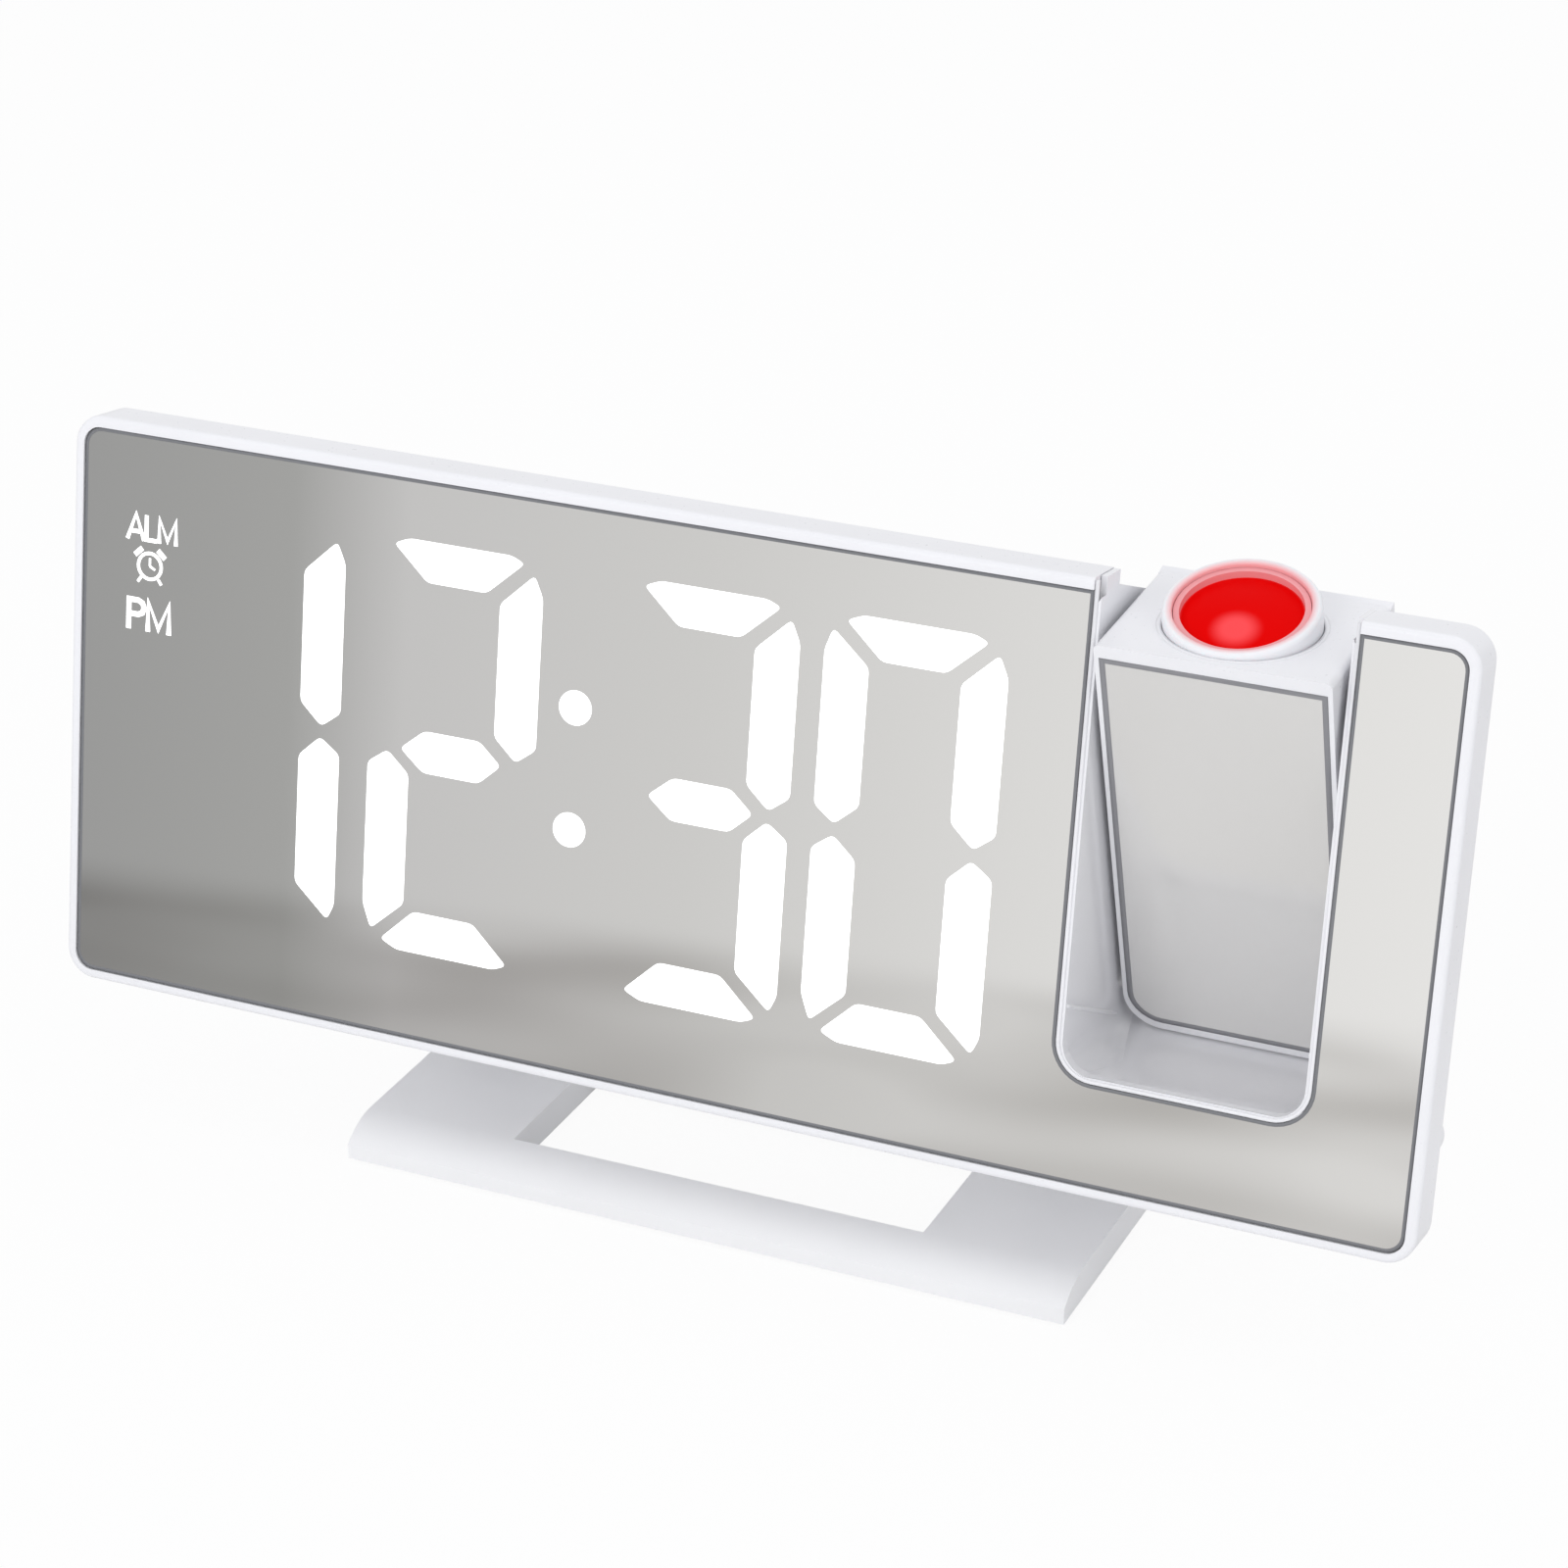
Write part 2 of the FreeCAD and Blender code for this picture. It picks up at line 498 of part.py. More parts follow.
# Rear shell
def make_rear():
    """Rear housing with its posts, openings and hinge knuckles, and the slot's liner."""
    shell = sloped_block("housing_outer", "0", "bezel_depth", "body_depth - bezel_depth")
    soft = rounded("housing_soft", shell, "housing_edge",
                   lambda edge: edge.BoundBox.YMax > value("bezel_depth") + 1)
    hollow = sloped_block("housing_inner", "-housing_wall", "bezel_depth - 1",
                          "body_depth - housing_wall - bezel_depth + 1")
    around = box("slot_wall", (SLOT_LEFT + " - slot_web", SLOT_RIGHT + " + slot_web"),
                 ("bezel_depth", "body_depth"), ("0", "body_top"))
    envelope = sloped_block("slot_envelope", "0", "bezel_depth", "body_depth - bezel_depth")
    walls = common("slot_walls", around, envelope)
    posts, holes, screws = [], [], []
    for across, up in SCREW_PLACES:
        start = DISPLAY_BACK if (across, up) in DISPLAY_SCREWS else "bezel_depth"
        posts.append(rod("post", "Y", (across, start, up), "boss_radius", "%s + 1 - %s" % (INNER_BACK, start)))
        holes.append(rod("screw_hole", "Y", (across, "bezel_depth - 1", up), "screw_radius + screw_fit",
                         "body_depth"))
        holes.append(rod("head_hole", "Y", (across, "body_depth - screw_head_thick - 4", up),
                         "screw_head_radius + screw_fit + 0.1", "screw_head_thick + 5"))
        screws.append(fuse("housing_screw",
                           rod("shank", "Y", (across, "bezel_depth - 4", up), "screw_radius",
                               "body_depth - bezel_depth - screw_head_thick"),
                           rod("head", "Y", (across, "body_depth - screw_head_thick - 4", up),
                               "screw_head_radius", "screw_head_thick")))
    board_back = "main_board_depth + board_thick"
    for across, up in BOARD_SCREWS:
        posts.append(rod("board_post", "Y", (across, board_back, up), "boss_radius",
                         INNER_BACK + " + 1 - (%s)" % board_back))
        holes.append(rod("board_hole", "Y", (across, "main_board_depth", up), "screw_radius", "8"))
    for side in (-1, 1):
        near = "(stand_width / 2 - arm_width - knuckle_clear)"
        far = "(stand_width / 2 - arm_width - knuckle_clear - knuckle_width)"
        low, high = ("-" + near, "-" + far) if side < 0 else (far, near)
        block = box("knuckle_block", (low, high), (INNER_BACK, "hinge_depth"),
                    ("hinge_height - hinge_boss", "hinge_height + hinge_boss"))
        barrel = rod("knuckle_barrel", "X", (low, "hinge_depth", "hinge_height"), "hinge_boss",
                     "knuckle_width")
        posts.append(fuse("knuckle", block, barrel))
        holes.append(rod("knuckle_hole", "X", (low + " - 1", "hinge_depth", "hinge_height"),
                         "pin_radius + pin_gap", "knuckle_width + 2"))
    for index in range(len(BUTTONS)):
        holes.append(rod("button_hole", "Y", (button_across(index), INNER_BACK + " - 1", "button_row"),
                         "button_radius + button_gap", "housing_wall + 2"))
    for column in range(-2, 3):
        for line in range(-2, 3):
            if abs(column) + abs(line) < 4:
                place = ("speaker_across + %d * grille_pitch" % column, INNER_BACK + " - 1",
                         "speaker_height + %d * grille_pitch" % line)
                holes.append(rod("grille_hole", "Y", place, "grille_hole", "housing_wall + 2"))
    for across, width, height in (("usb_across", "usb_width", "usb_height"),
                                  ("power_across", "power_width", "power_height")):
        holes.append(box("socket_hole", ("%s - %s / 2 - socket_gap" % (across, width),
                                         "%s + %s / 2 + socket_gap" % (across, width)),
                         (INNER_BACK + " - 1", "body_depth + 1"),
                         ("socket_row - %s / 2 - socket_gap" % height,
                          "socket_row + %s / 2 + socket_gap" % height)))
    holes.append(box("cover_hole", ("cell_across - cover_side / 2", "cell_across + cover_side / 2"),
                     ("body_depth - cover_thick", "body_depth + 1"),
                     ("cell_row - cover_side / 2", "cell_row + cover_side / 2")))
    holes.append(rod("cell_hole", "Y", ("cell_across", INNER_BACK + " - 1", "cell_row"),
                     "cell_radius + 0.4", "housing_wall + 2"))
    hollowed = cut("housing_hollow", soft, hollow)
    joined = fuse("housing_joined", hollowed, walls, *posts)
    slot = slot_cutter("housing_slot", "bezel_depth - 1", "body_depth + 2")
    node("rear_housing", cut("housing_cut", joined, slot, *holes), FACE_FRAME)
    node("housing_screws", group("housing_screw_set", screws), FACE_FRAME)
    make_liner()


def make_liner():
    """Channel with a floor that is round about the projector's pivot."""
    edge = ("%s + liner_gap" % SLOT_LEFT, "%s - liner_gap" % SLOT_RIGHT)
    inside = ("%s + liner_gap + liner_wall" % SLOT_LEFT, "%s - liner_gap - liner_wall" % SLOT_RIGHT)
    front = "0.2"
    lip = plate("liner_lip", edge, ("slot_floor + liner_gap", "body_top - liner_gap"), front,
                "bezel_depth - " + front, "slot_corner")
    flat = box("liner_front", edge, ("mirror_thick + liner_gap", "bezel_depth"),
               (LINER_BASE, "body_top - liner_gap"))
    rear = box("liner_rear", edge, ("bezel_depth", "body_depth"),
               (LINER_BASE, "body_top"))
    envelope = sloped_block("liner_envelope", "0", "bezel_depth", "body_depth - bezel_depth")
    blank = fuse("liner_blank", lip, flat, common("liner_tail", rear, envelope))
    path = plate("liner_path", inside, ("pivot_height - swing_radius", "body_top + 30"),
                 "mirror_thick + liner_gap", "50", "slot_corner - liner_wall")
    mouth = plate("liner_mouth", inside, ("slot_floor + mouth_rise", "body_top + 30"), "-1",
                  "mirror_thick + liner_gap + 1", "slot_corner - liner_wall")
    sweep = rod("liner_sweep", "X", (inside[0], "pivot_depth", "pivot_height"), "swing_radius",
                "slot_width - 2 * liner_gap - 2 * liner_wall")
    tools = [common("liner_room", path, sweep), common("liner_opening", mouth, sweep)]
    tools.append(rod("pivot_bore", "X", (edge[0] + " - 1", "pivot_depth", "pivot_height"),
                     "pivot_radius + pivot_gap", "slot_width + 4"))
    node("slot_liner", cut("liner_cut", blank, *tools), FACE_FRAME)


# Electronics behind the display
def make_electronics():
    """Main board, switches, buttons, speaker, sockets and the backup cell."""
    board = box("main_board_blank", ("main_board_left", "main_board_right"),
                ("main_board_depth", "main_board_depth + board_thick"),
                ("main_board_bottom", "main_board_top"))
    holes, screws = [], []
    for across, up in BOARD_SCREWS:
        holes.append(rod("board_way", "Y", (across, "main_board_depth - 1", up), "screw_radius + screw_fit",
                         "board_thick + 2"))
        screws.append(fuse("board_screw",
                           rod("board_shank", "Y", (across, "main_board_depth", up), "screw_radius - screw_fit",
                               "board_thick + 5"),
                           rod("board_head", "Y", (across, "main_board_depth - screw_head_thick", up),
                               "screw_head_radius", "screw_head_thick")))
    node("main_board", cut("main_board_cut", board, *holes), FACE_FRAME)
    node("board_screws", group("board_screw_set", screws), FACE_FRAME)

    base = "main_board_depth + board_thick"
    tip = "%s + switch_height + plunger_height" % base
    switches = []
    for index, name in enumerate(BUTTONS):
        across = button_across(index)
        switches.append(fuse("key_switch",
                             box("switch_base", (across + " - switch_side / 2", across + " + switch_side / 2"),
                                 (base, base + " + switch_height"),
                                 ("button_row - switch_side / 2", "button_row + switch_side / 2")),
                             rod("switch_plunger", "Y", (across, base + " + switch_height", "button_row"),
                                 "plunger_radius", "plunger_height")))
        stem = rod("button_stem", "Y", (across, tip + " + button_travel + 0.1", "button_row"), "plunger_radius",
                   "%s - button_flange - button_gap - (%s) - button_travel - 0.1 + 0.2" % (INNER_BACK, tip))
        flange = rod("button_rim", "Y", (across, INNER_BACK + " - button_flange - button_gap", "button_row"),
                     "button_radius + 1.2", "button_flange")
        cap = rod("button_cap", "Y", (across, INNER_BACK + " - button_gap - 0.1", "button_row"), "button_radius",
                  "housing_wall + button_gap + button_rise + 0.1")
        node(name, fuse(name + "_solid", stem, flange, cap), FACE_FRAME)
    node("key_switches", group("key_switch_set", switches), FACE_FRAME)

    back = INNER_BACK
    speaker = rod("speaker_can", "Y", ("speaker_across", back + " - speaker_depth", "speaker_height"),
                  "speaker_radius", "speaker_depth")
    node("speaker", speaker, FACE_FRAME)
    node("speaker_magnet", rod("magnet", "Y", ("speaker_across", back + " - speaker_depth - magnet_depth",
                                                "speaker_height"), "magnet_radius", "magnet_depth"), FACE_FRAME)
    make_sockets()
    make_backup()


def make_sockets():
    """Charging outlet and supply inlet, with their mouths in the rear wall."""
    across = ("usb_across - usb_width / 2", "usb_across + usb_width / 2")
    shell = box("usb_shell", across, ("body_depth - usb_depth", "body_depth - 0.2"),
                ("socket_row - usb_height / 2", "socket_row + usb_height / 2"))
    room = box("usb_room", ("usb_across - usb_width / 2 + usb_wall", "usb_across + usb_width / 2 - usb_wall"),
               ("body_depth - usb_depth + 1", "body_depth + 1"),
               ("socket_row - usb_height / 2 + usb_wall", "socket_row + usb_height / 2 - usb_wall"))
    tongue = box("usb_tongue", ("usb_across - usb_width / 2 + 1", "usb_across + usb_width / 2 - 1"),
                 ("body_depth - usb_depth + 0.5", "body_depth - 1"),
                 ("socket_row", "socket_row + tongue_thick"))
    foot = box("usb_foot", across, ("main_board_depth + board_thick", "body_depth - usb_depth"),
               ("socket_row - usb_height / 2", "socket_row + usb_height / 2"))
    node("usb_socket", fuse("usb_solid", cut("usb_cut", shell, room), tongue, foot), FACE_FRAME)

    case = box("power_case", ("power_across - power_width / 2", "power_across + power_width / 2"),
               ("main_board_depth", "body_depth - 0.2"),
               ("socket_row - power_height / 2", "socket_row + power_height / 2"))
    mouth = box("power_mouth", ("power_across - power_width / 2 + power_wall",
                                "power_across + power_width / 2 - power_wall"),
                ("body_depth - usb_depth", "body_depth + 1"),
                ("socket_row - power_height / 2 + power_wall", "socket_row + power_height / 2 - power_wall"))
    pin = box("power_tongue", ("power_across - power_width / 2 + 2 * power_wall",
                               "power_across + power_width / 2 - 2 * power_wall"),
              ("body_depth - usb_depth - 0.5", "body_depth - 1"),
              ("socket_row - power_wall / 2", "socket_row + power_wall / 2"))
    arm = box("power_arm", ("main_board_right", "power_across - power_width / 2"),
              ("main_board_depth", "main_board_depth + board_thick"),
              ("socket_row - power_height / 2", "socket_row + power_height / 2"))
    node("power_socket", fuse("power_solid", cut("power_cut", case, mouth), pin, arm), FACE_FRAME)


def make_backup():
    """Backup cell in its holder under a cover in the rear wall."""
    cell_back = "body_depth - cover_thick - 0.1"
    cell_front = "(%s - backup_thick)" % cell_back
    cell = rod("cell_disc", "Y", ("cell_across", cell_front, "cell_row"), "cell_radius", "backup_thick")
    node("backup_cell", cell, FACE_FRAME)
    base = "main_board_depth + board_thick"
    outer = rod("holder_outer", "Y", ("cell_across", base, "cell_row"), "cell_radius + 0.2 + holder_wall",
                INNER_BACK + " - (%s)" % base)
    room = rod("holder_room", "Y", ("cell_across", cell_front, "cell_row"), "cell_radius + 0.2", "20")
    node("cell_holder", cut("holder_cut", outer, room), FACE_FRAME)
    cover = box("cover_plate", ("cell_across - cover_side / 2 + 0.15", "cell_across + cover_side / 2 - 0.15"),
                ("body_depth - cover_thick", "body_depth"),
                ("cell_row - cover_side / 2 + 0.15", "cell_row + cover_side / 2 - 0.15"))
    node("battery_cover", cover, FACE_FRAME)


BLOCK_SCREWS = ["-block_bottom + screw_margin", "-block_bottom + screw_margin + screw_spread"]


# Projector block
def make_projector():
    """Shell, mirror and back of the swinging block, with its pivots."""
    half = "block_width / 2"
    top_back = "(block_top - (block_front + block_back) * tan(top_slope))"
    body = doc.addObject("PartDesign::Body", "block_blank")
    points = [("-block_front", "-block_bottom"), ("block_back - block_back_thick", "-block_bottom"),
              ("block_back - block_back_thick", top_back + " + block_back_thick * tan(top_slope)"),
              ("-block_front", "block_top")]
    sketch = outline(body, "block_profile", "YZ_Plane", "-" + half, points)
    pad = body.newObject("PartDesign::Pad", "block_pad")
    pad.Profile = sketch
    bind(pad, Length="block_width")
    doc.recompute()
    round_corners(body, pad, "block_mirror_corner + 1", True)
    top_level = value(top_back)
    soft = rounded("block_soft", body, "block_edge",
                   lambda edge: edge.BoundBox.ZMin > top_level - 0.01 and not is_along(edge, "X"))
    room = box("block_room", ("-%s + block_wall" % half, half + " - block_wall"),
               ("-block_front + block_mirror_thick + block_wall", "block_back + 1"),
               ("-block_bottom + 2 * block_wall", "top_inside"))
    recess = plate("block_mirror_room", ("-block_mirror_width / 2 - mirror_gap",
                                         "block_mirror_width / 2 + mirror_gap"),
                   ("-block_mirror_bottom - mirror_gap", "block_mirror_top + mirror_gap"),
                   "-block_front - 1", "block_mirror_thick + 1", "block_mirror_corner", True)
    seat = rod("ring_seat", "Z", ("0", "lens_offset", "ring_level - ring_sink"), "ring_radius + ring_gap", "20")
    bore = rod("lens_bore", "Z", ("0", "lens_offset", "top_inside - collar_drop - 1"), "cell_outer + cell_gap", "20")
    collar = rod("lens_collar", "Z", ("0", "lens_offset", "top_inside - collar_drop"),
                 "collar_radius", "collar_drop + 0.5")
    pivots = [rod("pivot_boss", "X", (start, "0", "0"), "pivot_radius",
                  "slot_width / 2 - liner_gap - (%s) + 1" % half)
              for start in ("-slot_width / 2 + liner_gap", half + " - 1")]
    inner_front = "-block_front + block_mirror_thick + 0.5"
    posts = [rod("back_post", "Y", ("0", inner_front, up), "boss_radius",
                 "block_back - block_back_thick - (%s)" % inner_front) for up in BLOCK_SCREWS]
    holes = [rod("back_hole", "Y", ("0", "block_back - screw_sink - block_screw_length", up), "screw_radius",
                 "30") for up in BLOCK_SCREWS]
    boxed = fuse("block_joined", cut("block_hollow", soft, room), collar, *(pivots + posts))
    node("projector_shell", cut("block_cut", boxed, recess, seat, bore, *holes), BLOCK_FRAME)
    face = plate("block_mirror", ("-block_mirror_width / 2", "block_mirror_width / 2"),
                 ("-block_mirror_bottom", "block_mirror_top"), "-block_front", "block_mirror_thick",
                 "block_mirror_corner", True)
    node("projector_mirror", face, BLOCK_FRAME)
    back = plate("block_back_plate", ("-" + half, half), ("-block_bottom", top_back),
                 "block_back - block_back_thick", "block_back_thick", "block_mirror_corner + 1", True)
    lug = box("block_lug", ("-%s + block_wall + 0.1" % half, half + " - block_wall - 0.1"),
              ("block_back - 2 * block_back_thick", "block_back - block_back_thick"),
              ("-block_bottom + 2 * block_wall + 0.1", "top_inside - 0.1"))
    lug_room = box("block_lug_room", ("-%s + 2 * block_wall" % half, half + " - 2 * block_wall"),
                   ("-30", "block_back - block_back_thick"),
                   ("-block_bottom + 3 * block_wall", "top_inside - block_wall"))
    lid = fuse("block_back_solid", back, cut("block_rim", lug, lug_room))
    ways = [rod("back_way", "Y", ("0", "0", up), "screw_radius + screw_fit", "block_back + 1")
            for up in BLOCK_SCREWS]
    sinks = [rod("back_sink", "Y", ("0", "block_back - screw_sink", up), "screw_head_radius + screw_fit", "5")
             for up in BLOCK_SCREWS]
    node("projector_back", cut("block_back_cut", lid, *(ways + sinks)), BLOCK_FRAME)
    screws = [fuse("block_screw",
                   rod("block_shank", "Y", ("0", "block_back - screw_sink - block_screw_length", up),
                       "screw_radius", "block_screw_length"),
                   rod("block_head", "Y", ("0", "block_back - screw_sink", up), "screw_head_radius",
                       "screw_sink"))
              for up in BLOCK_SCREWS]
    node("projector_screws", group("block_screw_set", screws), BLOCK_FRAME)


def make_light_path():
    """Focus ring, lens in its cell, film display, condenser and light source."""
    ring = rod("ring_disc", "Z", ("0", "lens_offset", "ring_level - ring_sink + 0.1"), "ring_radius",
               "ring_sink - 0.1")
    hole = rod("ring_hole", "Z", ("0", "lens_offset", "-20"), "ring_bore", "60")
    doc.recompute()
    soft = rounded("ring_soft", ring, "ring_edge", lambda edge: edge.BoundBox.ZLength < 1e-4
                   and edge.BoundBox.ZMin > value("ring_level") - 0.01)
    node("focus_ring", cut("ring_cut", soft, hole), BLOCK_FRAME)

    cell_top = "(ring_level - lens_drop)"
    tube = rod("cell_tube", "Z", ("0", "lens_offset", cell_top + " - cell_length"), "cell_outer", "cell_length")
    way = rod("cell_way", "Z", ("0", "lens_offset", "-30"), "lens_radius - 1", "80")
    seat = rod("cell_seat", "Z", ("0", "lens_offset", cell_top + " - lens_thick"), "lens_radius", "30")
    node("lens_cell", cut("cell_cut", tube, way, seat), BLOCK_FRAME)
    disc = rod("lens_disc", "Z", ("0", "lens_offset", cell_top + " - lens_thick"), "lens_radius", "lens_thick")
    ball = doc.addObject("Part::Sphere", "lens_ball")
    curve = "((lens_radius ^ 2 + lens_crown ^ 2) / (2 * lens_crown))"
    bind(ball, Radius=curve, Placement__Base__y="lens_offset",
         Placement__Base__z="%s + lens_crown - 0.3 - %s" % (cell_top, curve))
    node("red_lens", common("lens_cut", disc, ball), BLOCK_FRAME)

    inside = "block_width / 2 - block_wall - 0.3"
    front = "(-block_front + block_mirror_thick + block_wall + 0.3)"
    rear = "(block_back - 2 * block_back_thick - 0.3)"
    film = "(top_inside - film_drop)"
    frame = box("film_frame", ("-(%s)" % inside, inside), (front, rear), (film, film + " + film_thick"))
    node("film_display", frame, BLOCK_FRAME)
    node("condenser_lens", rod("condenser", "Z", ("0", "(%s + %s) / 2" % (front, rear),
                                                  film + " - condenser_thick"),
                               "condenser_radius", "condenser_thick"), BLOCK_FRAME)
    base = "(%s - condenser_thick - source_gap - chip_thick - board_thick)" % film
    node("projector_board", box("source_board", ("-(%s)" % inside, inside), (front, rear),
                                (base, base + " + board_thick")), BLOCK_FRAME)
    node("projector_led", box("source_chip", ("-chip_side / 2", "chip_side / 2"),
                              ("(%s + %s) / 2 - chip_side / 2" % (front, rear),
                               "(%s + %s) / 2 + chip_side / 2" % (front, rear)),
                              (base + " + board_thick", base + " + board_thick + chip_thick")), BLOCK_FRAME)


def check_and_write():
    """Stop on any failed object or bad shape, then write each sub-part."""
    doc.removeObject(probe.Name)
    doc.recompute()
    failed = [item.Name for item in doc.Objects if {"Invalid", "Error"} & set(item.State)]
    if failed:
        raise RuntimeError("failed objects: " + ", ".join(failed))
    for name, solid in NODES:
        if solid.Shape.isNull() or not solid.Shape.isValid() or not solid.Shape.Solids:
            raise RuntimeError("bad shape: " + name)
    for name, solid in NODES:
        solid.Shape.exportStep(os.path.join("parts", name + ".step"))
        span = solid.Shape.BoundBox
        print("%-22s %3d solids %9.1f mm3  x %.1f..%.1f y %.1f..%.1f z %.1f..%.1f" % (
            name, len(solid.Shape.Solids), solid.Shape.Volume, span.XMin, span.XMax, span.YMin,
            span.YMax, span.ZMin, span.ZMax))


make_stand()
make_front()
make_display()
make_rear()
make_electronics()
make_projector()
make_light_path()
check_and_write()
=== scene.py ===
import json
import math

import bmesh
import bpy
import numpy as np
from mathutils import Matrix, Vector


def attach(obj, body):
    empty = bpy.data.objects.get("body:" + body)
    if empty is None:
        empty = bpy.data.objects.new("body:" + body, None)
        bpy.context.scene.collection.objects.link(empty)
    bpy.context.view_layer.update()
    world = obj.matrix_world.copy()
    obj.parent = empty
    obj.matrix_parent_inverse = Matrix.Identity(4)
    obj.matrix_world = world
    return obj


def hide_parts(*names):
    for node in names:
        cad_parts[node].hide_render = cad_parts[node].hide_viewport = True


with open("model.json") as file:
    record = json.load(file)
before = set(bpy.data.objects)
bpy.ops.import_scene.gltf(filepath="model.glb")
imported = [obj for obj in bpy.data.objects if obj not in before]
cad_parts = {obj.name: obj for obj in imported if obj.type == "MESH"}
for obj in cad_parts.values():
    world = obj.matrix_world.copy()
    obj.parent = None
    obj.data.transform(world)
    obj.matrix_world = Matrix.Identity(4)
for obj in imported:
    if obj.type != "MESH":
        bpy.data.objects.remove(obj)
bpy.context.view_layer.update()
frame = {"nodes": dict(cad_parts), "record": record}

# Looks of a mirror-faced projection alarm clock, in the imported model's frame.
# Sizes are in millimetres until on_face, on_block or MM makes them metres. Angles are in degrees.
MM = 0.001

# Clock body, in the face's own frame: across, into the body and up the face
LEAN = 9.0                  # how far the face leans back
FACE_AHEAD = 2.0            # mirror's foot in front of the origin
FACE_HEIGHT = 20.0          # mirror's foot above the table
MIRROR_WIDTH = 187.0
MIRROR_HEIGHT = 75.1
MIRROR_CORNER = 2.5
BODY_TOP = 76.7
SLOT_CENTER = 63.85
SLOT_WIDTH = 32.9
SLOT_FLOOR = 13.3
SLOT_CORNER = 5.0
LINER_INSET = 0.9           # the liner's gap and wall, from the slot's side to the wall that shows

# Projector block, about its pivot
PIVOT_DEPTH = 12.0
PIVOT_HEIGHT = 63.9
TILT = 25.4                 # how far the block is turned forward
BLOCK_FRONT = 12.0
BLOCK_TOP = 12.0            # top at its front edge
TOP_SLOPE = 14.0            # how the top falls towards its back
BLOCK_MIRROR_WIDTH = 27.5
BLOCK_MIRROR_TOP = 9.7
BLOCK_MIRROR_BOTTOM = 47.9
BLOCK_MIRROR_CORNER = 4.0

# Lens and focus ring
LENS_OFFSET = -0.7          # the light's way out, in front of the pivot
LENS_RADIUS = 8.1
LENS_DROP = 0.6             # the crown's middle below the ring's top
CROWN_RADIUS = 30.0
LENS_WALL_DROP = 2.6        # the side wall's upper row below the ring's top, and its foot
LENS_FOOT_DROP = 5.0
RING_LEVEL = 12.2
RING_RADIUS = 9.6
RING_BORE = 8.3
RING_FOOT = 6.4             # foot of the ring's wall, down inside its seat
RING_INNER_ROUND = 0.35
RING_OUTER_ROUND = 0.6

# Steps of the curves
CORNER_STEPS = 8
NOTCH_STEPS = 10
DOT_STEPS = 40
TURN_STEPS = 96
CROWN_STEPS = 16
RING_INNER_STEPS = 6
RING_OUTER_STEPS = 8

# The camera that took the photograph, from a fit to the object's edges. Its places are in
# metres, its lens and sensor in millimetres.
CAMERA_PLACE = (0.20274, -0.42845, 0.28306)
CAMERA_AIM = (0.012176, -0.002, 0.06712)
CAMERA_LENS = 96.47
CAMERA_SENSOR = 36.0
CAMERA_NEAR = 0.01


def turned(degrees):
    """Rotation about the X axis."""
    angle = math.radians(degrees)
    c, s = math.cos(angle), math.sin(angle)
    return np.array([[1, 0, 0], [0, c, -s], [0, s, c]])


FACE_TURN = turned(-LEAN)
FACE_ORIGIN = np.array([0, -FACE_AHEAD, FACE_HEIGHT])
BLOCK_TURN = turned(TILT - LEAN)
BLOCK_ORIGIN = FACE_ORIGIN + FACE_TURN @ np.array([SLOT_CENTER, PIVOT_DEPTH, PIVOT_HEIGHT])


def on_face(points):
    """Points across, into and up the face, in millimetres, moved to the clock in metres."""
    return (np.asarray(points, float) @ FACE_TURN.T + FACE_ORIGIN) * MM


def on_block(points):
    """Points about the projector's pivot, in millimetres, moved to the clock in metres."""
    return (np.asarray(points, float) @ BLOCK_TURN.T + BLOCK_ORIGIN) * MM


# Meshes
MERGE_WITHIN = 1e-6         # metres
LEAST_EDGE = 1e-7


def close_surface(piece):
    """Merge points that lie on each other, drop edges of no length and turn every face
    outwards."""
    work = bmesh.new()
    work.from_mesh(piece.data)
    bmesh.ops.remove_doubles(work, verts=work.verts, dist=MERGE_WITHIN)
    bmesh.ops.dissolve_degenerate(work, edges=work.edges, dist=LEAST_EDGE)
    bmesh.ops.recalc_face_normals(work, faces=work.faces)
    work.to_mesh(piece.data)
    work.free()


def mesh_piece(name, points, faces, body, material, smooth=True):
    """Closed object from arrays of points and faces that rides on a body."""
    mesh = bpy.data.meshes.new(name)
    mesh.from_pydata(np.asarray(points).tolist(), [], [list(map(int, face)) for face in faces])
    mesh.validate()
    if smooth:
        mesh.shade_smooth()
    piece = bpy.data.objects.new(name, mesh)
    bpy.context.scene.collection.objects.link(piece)
    mesh.materials.append(material)
    close_surface(piece)
    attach(piece, body)
    return piece


def grid_faces(rows, columns, wrap_rows=False, wrap_columns=False):
    """Quads of a grid of points numbered row by row; either way may close on itself."""
    row = np.arange(rows if wrap_rows else rows - 1)
    column = np.arange(columns if wrap_columns else columns - 1)
    a, b = np.meshgrid(row, column, indexing="ij")
    a, b = a.ravel(), b.ravel()
    after_a, after_b = (a + 1) % rows, (b + 1) % columns
    return np.stack([a * columns + b, after_a * columns + b,
                     after_a * columns + after_b, a * columns + after_b], axis=1)


def end_caps(rows, columns):
    """First and last row of a grid that closes across its rows, each as one face."""
    last = (rows - 1) * columns
    return [list(range(columns)), list(range(last + columns - 1, last - 1, -1))]


